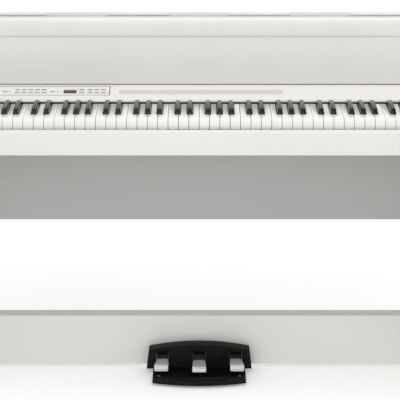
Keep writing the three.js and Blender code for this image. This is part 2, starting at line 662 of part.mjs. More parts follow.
function blackKey(octave, name) {
  const x = octaveLeft(octave) + BLACK_CENTRES[name];
  const wide = [x - BLACK_WIDTH / 2, x + BLACK_WIDTH / 2];
  const narrow = [x - BLACK_TOP_WIDTH / 2, x + BLACK_TOP_WIDTH / 2];
  const body = block(wide, [BLACK_FRONT, BLACK_REAR], [ARM_BOTTOM + ARM_HEIGHT / 2, KEY_TOP]);
  const cap = taperedBlock(
    [wide, [BLACK_FRONT, BLACK_REAR]],
    KEY_TOP,
    [narrow, [BLACK_FRONT + BLACK_SLOPE, BLACK_REAR - BLACK_REAR_SLOPE]],
    KEY_TOP + BLACK_RISE,
  );
  const arm = block(
    [x - BLACK_ARM_WIDTH / 2, x + BLACK_ARM_WIDTH / 2],
    [BLACK_REAR - ARM_LAP, ARM_REAR],
    [ARM_BOTTOM, ARM_TOP],
  );
  return { middle: x, solid: join(body, cap, arm) };
}

const WHITE_SPINE = ARM_REAR + SPINE_SETBACK;
const BLACK_SPINE = WHITE_SPINE + SPINE_SPACING;

/** Keys that stay still share one piece: each arm runs on into a spine behind the pivot rod. */
function fixedKeys(keys, armWidth, spineY, [tabBottom, tabTop]) {
  const spine = block(
    [KEYBOARD_LEFT + KEY_PITCH / 4, -KEYBOARD_LEFT - KEY_PITCH / 4],
    [spineY, spineY + SPINE_WIDTH],
    [tabBottom, tabTop],
  );
  const tabs = keys.map(({ middle }) => block(
    [middle - armWidth / 2 + GAP, middle + armWidth / 2 - GAP],
    [ARM_REAR - TAB_LAP, spineY + OVERRUN],
    [tabBottom, tabTop],
  ));
  return join(spine, ...tabs, ...keys.map((key) => key.solid));
}

const stillWhites = [];
const stillBlacks = [];
for (let octave = 0; octave <= LAST_OCTAVE; octave += 1) {
  WHITE_NAMES.forEach((name, index) => {
    const fromLeft = FIRST_C + 7 * (octave - 1) + index;
    if (fromLeft < 0 || fromLeft >= WHITE_COUNT) return;
    const key = whiteKey(octave, index);
    if (octave === MOVING_OCTAVE) place(keyboard, `key_${name}${octave}`, WHITE_KEY, key.solid);
    else stillWhites.push(key);
  });
  Object.keys(BLACK_CENTRES).forEach((name) => {
    const x = octaveLeft(octave) + BLACK_CENTRES[name];
    if (x < KEYBOARD_LEFT + KEY_PITCH / 2 || x > -KEYBOARD_LEFT - KEY_PITCH / 2) return;
    const key = blackKey(octave, name);
    if (octave === MOVING_OCTAVE) place(keyboard, `key_${name}${octave}`, BLACK_KEY, key.solid);
    else stillBlacks.push(key);
  });
}
place(keyboard, 'white_keys', WHITE_KEY,
  fixedKeys(stillWhites, WHITE_ARM_WIDTH, WHITE_SPINE, [ARM_BOTTOM, ARM_BOTTOM + SPINE_RISE]));
place(keyboard, 'black_keys', BLACK_KEY,
  fixedKeys(stillBlacks, BLACK_ARM_WIDTH, BLACK_SPINE, [ARM_BOTTOM + SPINE_RISE + OVERRUN, ARM_TOP]));

function keyChassis() {
  const front = KEY_FRONT + CHASSIS_SETBACK;
  const rail = KEY_TOP - WHITE_HEIGHT - KEY_TRAVEL_ROOM - CHASSIS_RAIL_ROOM;
  const floor = CHASSIS_BOTTOM + CHASSIS_FLOOR;
  const pillarTop = PIVOT_Z - PIVOT_RADIUS - GAP;
  const [pillarFront, pillarRear] = [PIVOT_Y - CHASSIS_PILLAR / 2, PIVOT_Y + CHASSIS_PILLAR / 2];
  const shape = outline([
    [front, CHASSIS_BOTTOM],
    [pillarRear, CHASSIS_BOTTOM],
    [pillarRear, pillarTop],
    [pillarFront, pillarTop],
    [pillarFront, floor],
    [front + CHASSIS_RAIL, floor],
    [front + CHASSIS_RAIL, rail],
    [front, rail],
  ]);
  return alongX(shape, KEYBOARD_LEFT - GAP, -KEYBOARD_LEFT + GAP);
}

/** Circuit board under the keys, with the rubber strip that their undersides press. */
function contactBoard() {
  const bottom = CHASSIS_BOTTOM + CHASSIS_FLOOR + GAP;
  const [depth, thickness] = CONTACT_BOARD;
  const ends = [KEYBOARD_LEFT + CONTACT_INSET, -KEYBOARD_LEFT - CONTACT_INSET];
  const rear = FELT_Y - CONTACT_REAR;
  const middle = rear - depth / 2;
  const board = block(ends, [rear - depth, rear], [bottom, bottom + thickness]);
  const strip = block(
    ends,
    [middle - CONTACT_STRIP / 2, middle + CONTACT_STRIP / 2],
    [bottom + thickness / 2, KEY_TOP - WHITE_HEIGHT - CONTACT_STRIP_ROOM],
  );
  return join(board, strip);
}

place(keyboard, 'key_chassis', CHASSIS_PLASTIC, keyChassis());
const KEYBOARD_X = [KEYBOARD_LEFT, -KEYBOARD_LEFT];
place(keyboard, 'key_pivot_rod', STEEL, rodX(PIVOT_RADIUS, ...KEYBOARD_X, [PIVOT_Y, PIVOT_Z]));
place(keyboard, 'contact_board', CIRCUIT, contactBoard());
place(keyboard, 'felt_strip', FELT,
  block(KEYBOARD_X, [FELT_Y, FELT_Y + FELT_DEPTH], [FELT_BOTTOM, FELT_BOTTOM + FELT_HEIGHT]));

// ---------------------------------------------------------------- control panel
const UNDER = -PANEL_THICKNESS - GAP; // just below the panel's inner surface, in the controls' frame

/** A block in the controls' frame, centred on (x, up). */
function slab([x, up], [width, length], [low, high]) {
  return block([x - width / 2, x + width / 2], [up - length / 2, up + length / 2], [low, high]);
}

function buttonPlaces(firstX, columns) {
  const columnsX = Array.from({ length: columns }, (_, i) => firstX + i * BUTTON_PITCH);
  return BUTTON_ROWS.flatMap((up) => columnsX.map((x) => [x, up]));
}
const SOUND_PLACES = buttonPlaces(SOUND_BUTTON_X, SOUND_COLUMNS);
const FUNCTION_PLACES = buttonPlaces(FUNCTION_BUTTON_X, FUNCTION_COLUMNS);
const VALUE_PLACES = BUTTON_ROWS.map((up) => [VALUE_BUTTON_X, up]);
const ROWS_MIDDLE = (BUTTON_ROWS[0] + BUTTON_ROWS[1]) / 2;

function controlPanel() {
  const inside = panelInside(0);
  const shape = outline([
    [FELT_Y, PANEL_BOTTOM, 1],
    inside[0],
    inside[1],
    inside[2],
    inside[3],
    [PANEL_REAR - PANEL_THICKNESS, PANEL_REAR_Z - PANEL_FLANGE],
    [PANEL_REAR, PANEL_REAR_Z - PANEL_FLANGE],
    [PANEL_REAR, PANEL_REAR_Z],
    [PANEL_Y, PANEL_Z],
    [FELT_Y + PANEL_NOSE_DEPTH / 4, PANEL_BOTTOM + PANEL_NOSE_RISE * 0.72],
    [FELT_Y, PANEL_BOTTOM + PANEL_NOSE_RISE / 3],
  ]);
  const through = [-2 * PANEL_THICKNESS, PANEL_THICKNESS];
  const room = 2 * BUTTON_CLEARANCE;
  const capHole = (at) => slab(at, [BUTTON[0] + room, BUTTON[1] + room], through);
  const holes = [...SOUND_PLACES, ...FUNCTION_PLACES, ...VALUE_PLACES].map(capHole);
  holes.push(slab([DISPLAY_X, ROWS_MIDDLE], [DISPLAY[0] + room, DISPLAY[1] + room], through));
  holes.push(rodZ(POWER_RADIUS + BUTTON_CLEARANCE, [POWER_X, ROWS_MIDDLE], ...through));
  const slot = [VOLUME_STEM[0] + VOLUME_TRAVEL + room, VOLUME_STEM[1] + room];
  holes.push(slab([VOLUME_X, ROWS_MIDDLE], slot, through));
  holes.push(musicGroove());
  return cut(alongX(shape, -FIT, FIT), ...holes.map((hole) => hole.applyMatrix4(controls.matrixWorld)));
}

/** A ledge that leans back: the lower edge of a book rests against its rear wall. */
function musicGroove() {
  const [x0, x1] = [GROOVE_SHIFT - GROOVE_LENGTH / 2, GROOVE_SHIFT + GROOVE_LENGTH / 2];
  const end = GROOVE_START + GROOVE_WIDTH;
  const wedge = outline([
    [GROOVE_START, 0],
    [end, -GROOVE_DEPTH],
    [end, PANEL_THICKNESS],
    [GROOVE_START, PANEL_THICKNESS],
  ]);
  return alongX(wedge, x0, x1);
}

/** Caps that share one moulding: each flexes on it, and it lies under the panel. */
function buttonMoulding(places) {
  const xs = places.map(([x]) => x);
  const middle = (Math.min(...xs) + Math.max(...xs)) / 2;
  const width = Math.max(...xs) - Math.min(...xs) + BUTTON[0] + MOULDING_MARGIN[0];
  const length = BUTTON_ROWS[1] - BUTTON_ROWS[0] + BUTTON[1] + MOULDING_MARGIN[1];
  const sheet = slab([middle, ROWS_MIDDLE], [width, length], [UNDER - MOULDING_SHEET, UNDER]);
  return join(sheet, ...places.map((at) => slab(at, BUTTON, [UNDER - MOULDING_SHEET / 2, BUTTON_PROUD])));
}

/** The flange under a rectangular opening that keeps a cap or window from coming out. */
function flangeUnder(at, [width, length]) {
  return slab(at, [width + FLANGE_REACH[0], length + FLANGE_REACH[1]], [UNDER - FLANGE, UNDER]);
}

/** A single cap with its flange; it has room to travel under the flange. */
function valueButton(at) {
  return join(flangeUnder(at, BUTTON), slab(at, BUTTON, [UNDER - FLANGE / 2, BUTTON_PROUD]));
}

function powerButton() {
  const at = [POWER_X, ROWS_MIDDLE];
  const flange = rodZ(POWER_RADIUS + FLANGE_REACH[0], at, UNDER - FLANGE, UNDER);
  return join(flange, rodZ(POWER_RADIUS, at, UNDER - FLANGE / 2, POWER_PROUD));
}

function volumeSlider() {
  const at = [VOLUME_X, ROWS_MIDDLE];
  const [capWidth, capLength, capHeight] = VOLUME_CAP;
  const [gripWidth, gripLength, gripDepth] = VOLUME_GRIP;
  const cap = slab(at, [capWidth, capLength], [GAP, capHeight]);
  const grip = slab(at, [gripWidth, gripLength], [capHeight - gripDepth, capHeight + OVERRUN]);
  const carriage = slab(at, VOLUME_CARRIAGE, [UNDER - MOULDING_SHEET, UNDER]);
  const stem = slab(at, VOLUME_STEM, [UNDER - MOULDING_SHEET / 2, capHeight / 2]);
  return cut(join(cap, stem, carriage), grip);
}

function displayWindow() {
  const at = [DISPLAY_X, ROWS_MIDDLE];
  return join(slab(at, DISPLAY, [UNDER - FLANGE / 2, -GAP]), flangeUnder(at, DISPLAY));
}

/** The board that carries the switches, sound generator and amplifier, under the panel's left part. */
function mainBoard() {
  const left = POWER_X - MAIN_BOARD_MARGIN[0];
  const right = FUNCTION_BUTTON_X + (FUNCTION_COLUMNS - 1) * BUTTON_PITCH + MAIN_BOARD_MARGIN[1];
  const up = ROWS_MIDDLE + MAIN_BOARD_SHIFT;
  const top = UNDER - MAIN_BOARD_DROP;
  const bottom = top - MAIN_BOARD_THICKNESS;
  const board = slab([(left + right) / 2, up], [right - left, MAIN_BOARD_LENGTH], [bottom, top]);
  const chipZ = [(bottom + top) / 2, top + CHIP_HEIGHT];
  return join(board, slab([DISPLAY_X + CHIP_OFFSET, up], [CHIP, CHIP], chipZ));
}

place(casework, 'control_panel', PANEL_PLASTIC, controlPanel());
place(controls, 'sound_buttons', BUTTON_PLASTIC, buttonMoulding(SOUND_PLACES));
place(controls, 'function_buttons', BUTTON_PLASTIC, buttonMoulding(FUNCTION_PLACES));
place(controls, 'value_down_button', BUTTON_PLASTIC, valueButton(VALUE_PLACES[0]));
place(controls, 'value_up_button', BUTTON_PLASTIC, valueButton(VALUE_PLACES[1]));
place(controls, 'power_button', BUTTON_PLASTIC, powerButton());
place(controls, 'volume_slider', BUTTON_PLASTIC, volumeSlider());
place(controls, 'display_window', WINDOW, displayWindow());
place(controls, 'main_board', CIRCUIT, mainBoard());

// ---------------------------------------------------------------- lid
function lidRear() {
  const [y, z] = LID_PIVOT;
  const radius = BOARD / 2;
  const shape = outline([
    [LID_FRONT_Y, z - radius, LID_HEEL],
    [LID_BACK_Y, z - radius, radius * 0.999],
    [LID_BACK_Y, LID_END],
    [LID_FRONT_Y, LID_END, LID_NOSE],
  ], 5);
  const [deep, past] = [LID_HALF_WIDTH - LID_HOLE, LID_HALF_WIDTH + OVERRUN];
  const bore = LID_PIN_RADIUS + PIN_CLEARANCE;
  const holes = [[-past, -deep], [deep, past]].map((ends) => rodX(bore, ...ends, [y, z]));
  return cut(alongX(shape, -LID_HALF_WIDTH, LID_HALF_WIDTH), ...holes);
}

function lidFront() {
  const shape = outline([
    [FOLDED_Y, FOLDED_BOTTOM, 2 * EDGE],
    [FOLDED_Y + BOARD + LID_LIP, FOLDED_BOTTOM, EDGE],
    [FOLDED_Y + BOARD + LID_LIP, FOLDED_BOTTOM + BOARD, EDGE],
    [FOLDED_Y + BOARD, FOLDED_BOTTOM + BOARD],
    [FOLDED_Y + BOARD, FOLDED_END, EDGE / 2],
    [FOLDED_Y, FOLDED_END],
  ]);
  const board = alongX(shape, -LID_HALF_WIDTH, LID_HALF_WIDTH);
  const past = LID_HALF_WIDTH + OVERRUN;
  const room = rodX(KNUCKLE_RADIUS + KNUCKLE_ROOM, -past, past, [FOLD_Y, FOLD_Z]);
  return cut(board, room);
}

const LEAF_HALF = LID_HALF_WIDTH - LEAF_INSET;
const KNUCKLE = (2 * LEAF_HALF) / KNUCKLE_COUNT;

/** Knuckles of one leaf (every other one), each joined to its leaf by a neck that starts at the leaf. */
function knuckles(first, neckEnd) {
  const pieces = [];
  const neckZ = [Math.min(neckEnd, FOLD_Z), Math.max(neckEnd, FOLD_Z)];
  const neckY = neckEnd < FOLD_Z ? [FOLD_Y - LEAF, FOLD_Y] : [FOLD_Y, FOLD_Y + LEAF];
  for (let i = first; i < KNUCKLE_COUNT; i += 2) {
    const ends = [-LEAF_HALF + i * KNUCKLE + GAP, -LEAF_HALF + (i + 1) * KNUCKLE - GAP];
    pieces.push(join(
      rodX(KNUCKLE_RADIUS, ...ends, [FOLD_Y, FOLD_Z], 12),
      block(ends, neckY, neckZ),
    ));
  }
  return pieces;
}

/** The leaf on the rear half's end, with the hinge pin fixed in its knuckles. */
function rearLeaf() {
  const z = [LID_END + GAP, LID_END + GAP + LEAF];
  const edge = FOLD_Y - KNUCKLE_RADIUS;
  const plate = block([-LEAF_HALF, LEAF_HALF], [edge - LEAF_WIDTH + KNUCKLE_RADIUS, edge], z);
  const own = knuckles(0, z[0]);
  const tabs = own.map((knuckle) => {
    knuckle.computeBoundingBox();
    const { min, max } = knuckle.boundingBox;
    return block([min.x, max.x], [edge - OVERRUN, FOLD_Y], z);
  });
  const pin = rodX(HINGE_PIN_RADIUS, -LEAF_HALF + GAP, LEAF_HALF - GAP, [FOLD_Y, FOLD_Z], 8);
  return join(plate, pin, ...own, ...tabs);
}

/** The leaf on the front half's end; its knuckles turn on the pin. */
function frontLeaf() {
  const z = [FOLDED_END + GAP, FOLDED_END + GAP + LEAF];
  const edge = FOLD_Y + KNUCKLE_RADIUS;
  const plate = block([-LEAF_HALF, LEAF_HALF], [edge, edge + LEAF_WIDTH - KNUCKLE_RADIUS], z);
  const own = knuckles(1, z[1]);
  const tabs = own.map((knuckle) => {
    knuckle.computeBoundingBox();
    const { min, max } = knuckle.boundingBox;
    return block([min.x, max.x], [FOLD_Y, edge + OVERRUN], z);
  });
  const bore = rodX(HINGE_PIN_RADIUS + GAP, -LID_HALF_WIDTH, LID_HALF_WIDTH, [FOLD_Y, FOLD_Z], 12);
  return cut(join(plate, ...own, ...tabs), bore);
}

function lidBatten() {
  const start = LID_PIVOT[1] + BATTEN_START;
  const rear = LID_FRONT_Y - GAP;
  const front = rear - BATTEN_THICKNESS;
  const shape = outline([
    [front, start, 1], [rear, start], [rear, start + BATTEN_WIDTH], [front, start + BATTEN_WIDTH, 1],
  ]);
  return alongX(shape, -LID_HALF_WIDTH + BATTEN_INSET, LID_HALF_WIDTH - BATTEN_INSET);
}

place(lid, 'lid_rear', PAINT, lidRear());
place(lid, 'lid_front', PAINT, lidFront());
place(lid, 'lid_batten', PAINT, lidBatten());
place(lid, 'fold_hinge_rear_leaf', ENAMEL, rearLeaf());
place(lid, 'fold_hinge_front_leaf', ENAMEL, frontLeaf());
for (const [name, side] of [['left', -1], ['right', 1]]) {
  const middle = side * (INSIDE - LID_SIDE_CLEARANCE / 2);
  const ends = [middle - LID_PIN_LENGTH / 2, middle + LID_PIN_LENGTH / 2];
  place(lid, `lid_pin_${name}`, STEEL, rodX(LID_PIN_RADIUS, ...ends, LID_PIVOT));
}

// ---------------------------------------------------------------- pedals
/** Left and right side of a pedal where it enters the housing, from the pedal's own middle. */
function stemSides(side) {
  const lean = (own) => (side === 0 ? MIDDLE_SLANT : PEDAL_SLANT[side === own ? 1 : 0]);
  return [-PEDAL_WIDTH / 2 + lean(-1), PEDAL_WIDTH / 2 - lean(1)];
}

function pedalHousing() {
  const bottom = BASE_TOP + GAP;
  const arch = (inset) => {
    const [top, low] = [HOUSING_TOP_WIDTH / 2 - inset, HOUSING_BOTTOM_WIDTH / 2 - inset];
    const steps = 8;
    const crown = Array.from({ length: steps + 1 }, (_, i) => {
      const t = 1 - (2 * i) / steps;
      const rise = (HOUSING_PEAK_HEIGHT - HOUSING_CORNER_HEIGHT) * (1 - t * t);
      return [top * t, HOUSING_CORNER_HEIGHT - inset + rise];
    });
    const foot = inset ? bottom - OVERRUN : bottom;
    return outline([[-low, foot], [low, foot], ...crown]);
  };
  const slots = [-1, 0, 1].map((side) => {
    const [left, right] = stemSides(side).map((x) => side * PEDAL_SPACING + x);
    const y = [HOUSING_FRONT - OVERRUN, HOUSING_FRONT + HOUSING_WALL + OVERRUN];
    return block([left - SLOT_ROOM, right + SLOT_ROOM], y, SLOT_HEIGHTS);
  });
  return cut(
    alongY(arch(0), HOUSING_FRONT, HOUSING_REAR),
    alongY(arch(HOUSING_WALL), HOUSING_FRONT + HOUSING_WALL, HOUSING_REAR + OVERRUN),
    rodX(PEDAL_SHAFT_RADIUS + GAP, -HOUSING_BOTTOM_WIDTH, HOUSING_BOTTOM_WIDTH, PEDAL_AXIS),
    ...slots,
  );
}

function pedalBase() {
  const half = BASE_WIDTH / 2;
  const corner = HOUSING_FRONT - BASE_CORNER;
  const steps = 10;
  const frontEdge = Array.from({ length: steps + 1 }, (_, i) => {
    const t = (2 * i) / steps - 1;
    return [half * t, corner - BASE_BULGE * (1 - t * t)];
  });
  const shape = outline([
    ...frontEdge,
    [half, HOUSING_REAR],
    [-half, HOUSING_REAR],
  ]);
  const hole = rodZ(ADJUSTER_STEM + GAP, [0, ADJUSTER_Y], BASE_LIFT - OVERRUN, BASE_TOP + OVERRUN);
  return cut(alongZ(shape, BASE_LIFT, BASE_TOP), hole);
}

function pedalAdjuster() {
  const at = [0, ADJUSTER_Y];
  const foot = rodZ(ADJUSTER_RADIUS, at, 0, BASE_LIFT - GAP);
  return join(foot, rodZ(ADJUSTER_STEM, at, BASE_LIFT / 2, BASE_TOP));
}

/** One pedal, modelled at x = 0: plate, rolled lip and the stem that turns on the shaft. */
function pedal(side) {
  const half = PEDAL_WIDTH / 2;
  const kind = side === 0 ? 'middle' : 'outer';
  const tip = HOUSING_FRONT - PEDAL_LENGTHS[kind];
  const [lipBottom, lipDepth, underStart, frontUnder] = PEDAL_LIP;
  const inner = HOUSING_FRONT + HOUSING_WALL;
  const rear = PEDAL_AXIS[0] + STEM_REACH;
  const stemTop = PEDAL_AXIS[1] + STEM_REACH;
  const profile = outline([
    [tip, lipBottom, 1],
    [tip + lipDepth, lipBottom, 1],
    [tip + underStart, frontUnder],
    [HOUSING_FRONT, STEM_BOTTOM],
    [rear, STEM_BOTTOM],
    [rear, stemTop],
    [inner + STEM_START, stemTop],
    [inner, PEDAL_TOPS[kind]],
    [tip, PEDAL_FRONT_TOP, PEDAL_LIP_RADIUS],
  ], 5);
  const [left, right] = stemSides(side);
  const plan = outline([
    [-half + PEDAL_TIP_NARROWING, tip - 1, PEDAL_CORNER],
    [half - PEDAL_TIP_NARROWING, tip - 1, PEDAL_CORNER],
    [half, tip + PEDAL_BEND],
    [right, HOUSING_FRONT],
    [right, rear + OVERRUN],
    [left, rear + OVERRUN],
    [left, HOUSING_FRONT],
    [-half, tip + PEDAL_BEND],
  ], 3);
  const bore = rodX(PEDAL_SHAFT_RADIUS + GAP, -half, half, PEDAL_AXIS);
  return cut(common(alongX(profile, -half, half), alongZ(plan, 0, HOUSING_PEAK_HEIGHT)), bore);
}

/** A spring-steel leaf on the base, with a finger under each pedal's stem. */
function pedalSpring() {
  const [front, rear] = [PEDAL_AXIS[0] - SPRING_REACH[0], PEDAL_AXIS[0] + SPRING_REACH[1]];
  const [half, tip] = SPRING_FINGER;
  const bottom = BASE_TOP + GAP;
  const end = PEDAL_SPACING + 2 * half;
  const plate = block([-end, end], [front, rear], [bottom, bottom + SPRING_SHEET]);
  const finger = outline([
    [front, bottom],
    [front, bottom + SPRING_SHEET],
    [front - 2 * SPRING_SHEET, tip],
    [front - 3 * SPRING_SHEET, tip],
    [front - 1.2 * SPRING_SHEET, bottom],
  ]);
  const fingers = [-1, 0, 1].map((i) => alongX(finger, i * PEDAL_SPACING - half, i * PEDAL_SPACING + half));
  return join(plate, ...fingers);
}

place(pedals, 'pedal_housing', BLACK_PLASTIC, pedalHousing());
place(pedals, 'pedal_base', BLACK_PLASTIC, pedalBase());
place(pedals, 'pedal_adjuster', RUBBER, pedalAdjuster());
place(pedals, 'pedal_spring', SPRING_STEEL, pedalSpring());
const SHAFT_HALF = HOUSING_TOP_WIDTH / 2;
place(pedals, 'pedal_shaft', STEEL, rodX(PEDAL_SHAFT_RADIUS, -SHAFT_HALF, SHAFT_HALF, PEDAL_AXIS));
for (const [name, side] of PEDAL_KINDS) {
  place(pedals, name, PEDAL_METAL, pedal(side)).position.x = side * PEDAL_SPACING;
}

export default piano;
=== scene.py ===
# %% [markdown]
# # A home digital piano on its stand
# The mechanical model of the piano is finished before this file starts: every board, key, hinge and pedal
# is in place at its real size. This notebook gives each of them its surface. It rounds the edges as a
# workshop would, models the parts that need a finer shape than the mechanical model holds, and mixes a
# material for every finish. The player sits on the -Y side, +Z is up, and all lengths are in metres.

# %% Load the frame
import json
import math

import bmesh
import bpy
from mathutils import Matrix, Vector


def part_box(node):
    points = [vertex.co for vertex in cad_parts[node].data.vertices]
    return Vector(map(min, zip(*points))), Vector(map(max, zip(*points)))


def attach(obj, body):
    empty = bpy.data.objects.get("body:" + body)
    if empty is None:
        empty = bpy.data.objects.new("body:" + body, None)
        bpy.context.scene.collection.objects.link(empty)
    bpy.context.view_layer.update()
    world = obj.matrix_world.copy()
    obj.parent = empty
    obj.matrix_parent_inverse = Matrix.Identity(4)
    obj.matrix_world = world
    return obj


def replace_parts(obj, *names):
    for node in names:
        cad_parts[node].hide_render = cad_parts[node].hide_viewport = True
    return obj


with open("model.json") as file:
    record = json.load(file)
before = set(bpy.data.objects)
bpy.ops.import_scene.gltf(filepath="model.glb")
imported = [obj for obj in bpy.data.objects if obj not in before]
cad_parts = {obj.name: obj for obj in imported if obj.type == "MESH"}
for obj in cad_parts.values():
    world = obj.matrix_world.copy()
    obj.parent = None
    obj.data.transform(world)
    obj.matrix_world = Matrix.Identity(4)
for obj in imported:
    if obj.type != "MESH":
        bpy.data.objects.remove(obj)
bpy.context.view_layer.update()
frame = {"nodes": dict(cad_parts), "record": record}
nodes = frame["nodes"]
body_of_node = {n: body for body, members in frame["record"]["behaviour"]["bodies"].items() for n in members}

# %% [markdown]
# ## Landmarks
# New pieces take their places from the frame, so that they follow it if the design changes. A landmark is
# one corner or face of a board, read once and given a plain name.

# %% Read the landmarks
MM = 0.001


def low(node):
    """The lowest X, Y and Z of a node."""
    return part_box(node)[0]


def high(node):
    """The highest X, Y and Z of a node."""
    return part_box(node)[1]


inside = high("key_slip").x  # centre line to a side panel
case_front = low("key_slip").y
case_rear = high("back_panel").y
keys_left, keys_right = low("felt_strip").x, high("felt_strip").x
panel_rear = Vector((0, high("control_panel").y, high("control_panel").z))
print("keyboard width:", round(keys_right - keys_left, 4), "case depth:", round(case_rear - case_front, 4))

# %% [markdown]
# ## Mixing a finish
# Nothing on a real piano is one flat colour. Foil on a board varies slowly from place to place, has a faint
# orange peel, and gets a little duller where hands and dusters pass. One recipe can make most of these
# finishes. A slow noise mixes two close colours, a fine noise drives the roughness and a bump, and a worn
# colour shows on the edges. The noises are measured in the piece's own metres, so that the grain has one
# size everywhere.

# %% Node helpers
FACTOR, COLOUR_A, COLOUR_B, COLOUR_OUT = 0, 6, 7, 2  # the mix node's sockets when it mixes colours
FACING_FLAT, FACING_EDGE = 0.995, 0.85  # how well a rounded normal agrees with its face's own


def set_socket(tree, socket, value):
    """Links the socket if the value is another socket, and sets it if it is a plain value."""
    if isinstance(value, bpy.types.NodeSocket):
        tree.links.new(value, socket)
    else:
        socket.default_value = value


def add_node(tree, kind, settings=None, **sockets):
    """A new node with its settings and sockets. i0 and i1 stand for the first and second socket."""
    made = tree.nodes.new(kind)
    for key, value in (settings or {}).items():
        setattr(made, key, value)
    for key, value in sockets.items():
        numbered = key[0] == "i" and key[1:].isdigit()
        socket = made.inputs[int(key[1:])] if numbered else made.inputs[key.replace("_", " ")]
        set_socket(tree, socket, value)
    return made


def place_in_metres(tree, stretch=(1, 1, 1)):
    """The piece's own coordinates, stretched where a grain runs one way."""
    coordinates = add_node(tree, "ShaderNodeTexCoord").outputs["Object"]
    return add_node(tree, "ShaderNodeMapping", Vector=coordinates, Scale=stretch).outputs["Vector"]


def noise(tree, vector, per_metre, detail=3.0):
    return add_node(tree, "ShaderNodeTexNoise", Vector=vector, Scale=per_metre, Detail=detail).outputs["Fac"]


def mix_colours(tree, factor, first, second):
    """Two colours mixed by a factor; any of the three may be a socket."""
    made = add_node(tree, "ShaderNodeMix", {"data_type": "RGBA"})
    for number, value in ((FACTOR, factor), (COLOUR_A, first), (COLOUR_B, second)):
        set_socket(tree, made.inputs[number], value)
    return made.outputs[COLOUR_OUT]


def spread(tree, value, start, end, low_out, high_out):
    """Carries a value's range from start..end to low_out..high_out."""
    sockets = dict(Value=value, From_Min=start, From_Max=end, To_Min=low_out, To_Max=high_out)
    return add_node(tree, "ShaderNodeMapRange", **sockets).outputs["Result"]


def edge_mask(tree, reach):
    """1 on a sharp edge, 0 on a flat face, over a band as wide as reach."""
    softened = add_node(tree, "ShaderNodeBevel", {"samples": 4}, Radius=reach).outputs["Normal"]
    flat = add_node(tree, "ShaderNodeNewGeometry").outputs["Normal"]
    dot_product = {"operation": "DOT_PRODUCT"}
    facing = add_node(tree, "ShaderNodeVectorMath", dot_product, i0=softened, i1=flat).outputs["Value"]
    return spread(tree, facing, FACING_FLAT, FACING_EDGE, 0.0, 1.0)


def rgb(colour, shade=1.0):
    return (colour[0] * shade, colour[1] * shade, colour[2] * shade, 1.0)


def new_material(name):
    """An empty material, its node tree and its shader."""
    material = bpy.data.materials.new(name)
    material.use_nodes = True
    return material, material.node_tree, material.node_tree.nodes["Principled BSDF"]


def add_bump(tree, shader, strength, distance, height):
    bump = add_node(tree, "ShaderNodeBump", Strength=strength, Distance=distance, Height=height)
    tree.links.new(bump.outputs["Normal"], shader.inputs["Normal"])


# %% The general finish
CLOUDS, PATCHES, HANDLING = 4.0, 60.0, 9.0  # colour clouds, worn patches and handled places to the metre
GRAIN_STRENGTH = 0.6


def finish(name, colour, rough, grain, vary=0.05, worn=None, metallic=0.0, stretch=(1, 1, 1), **extra):
    """
    colour: linear red, green, blue. rough: (smoothest, roughest).
    grain: (details per metre, bump height in metres). vary: how much darker the slow clouds are.
    worn: the colour that edges wear towards, with the width of the band.
    """
    material, tree, shader = new_material(name)
    place = place_in_metres(tree, stretch)
    clouds = spread(tree, noise(tree, place_in_metres(tree), CLOUDS), 0.3, 0.7, 0.0, 1.0)
    base = mix_colours(tree, clouds, rgb(colour), rgb(colour, 1 - vary))
    if worn:
        edge = edge_mask(tree, worn[1])
        patchy = spread(tree, noise(tree, place_in_metres(tree), PATCHES), 0.4, 0.65, 0.0, 1.0)
        wear = add_node(tree, "ShaderNodeMath", {"operation": "MULTIPLY"}, i0=edge, i1=patchy).outputs[0]
        base = mix_colours(tree, wear, base, rgb(worn[0]))
    tree.links.new(base, shader.inputs["Base Color"])
    fine = noise(tree, place, grain[0], 2.0)
    handled = noise(tree, place_in_metres(tree), HANDLING, 5.0)
    both = add_node(tree, "ShaderNodeMath", {"operation": "ADD"}, i0=fine, i1=handled).outputs[0]
    tree.links.new(spread(tree, both, 0.7, 1.3, *rough), shader.inputs["Roughness"])
    add_bump(tree, shader, GRAIN_STRENGTH, grain[1], fine)
    shader.inputs["Metallic"].default_value = metallic
    for socket, value in extra.items():
        shader.inputs[socket.replace("_", " ")].default_value = value
    return material


# %% [markdown]
# ## The finishes of this piano
# The case is white foil on board: a satin surface with the faint pebble of a pressing roller. The control
# panel is moulded plastic, a little whiter. White keys are glossy, black keys are satin so that fingers
# don't slip. The pedal unit is black plastic with a fine spark-eroded texture, and the pedals are satin
# nickel, brushed front to back.

# %% Mix the plain finishes
WHITE_FOIL = finish("white_foil", (0.78, 0.77, 0.735), (0.34, 0.46), (900, 0.00004), 0.025,
                    worn=((0.68, 0.66, 0.61), 0.0012))
PANEL_PLASTIC = finish("panel_plastic", (0.765, 0.75, 0.715), (0.38, 0.5), (2600, 0.00003), 0.02,
                       worn=((0.86, 0.85, 0.82), 0.0006))
WHITE_KEY = finish("white_key", (0.93, 0.925, 0.895), (0.16, 0.3), (350, 0.00001), 0.03, Coat_Weight=0.2)
BLACK_KEY = finish("black_key", (0.006, 0.0055, 0.005), (0.12, 0.2), (1800, 0.00001), 0.2,
                   worn=((0.02, 0.019, 0.018), 0.0006), Specular_IOR_Level=0.3)
BUTTON = finish("button", (0.70, 0.69, 0.66), (0.35, 0.5), (1500, 0.00002), 0.06,
                worn=((0.78, 0.77, 0.74), 0.0004))
INK = finish("grey_ink", (0.040, 0.039, 0.038), (0.55, 0.7), (4000, 0.000005), 0.15)
HINGE_ENAMEL = finish("hinge_enamel", (0.74, 0.73, 0.70), (0.25, 0.4), (700, 0.00002), 0.05,
                      worn=((0.45, 0.44, 0.43), 0.0004))
BLACK_PLASTIC = finish("black_plastic", (0.0042, 0.004, 0.0037), (0.4, 0.55), (2200, 0.00005), 0.25,
                       worn=((0.03, 0.03, 0.029), 0.001), Specular_IOR_Level=0.14)
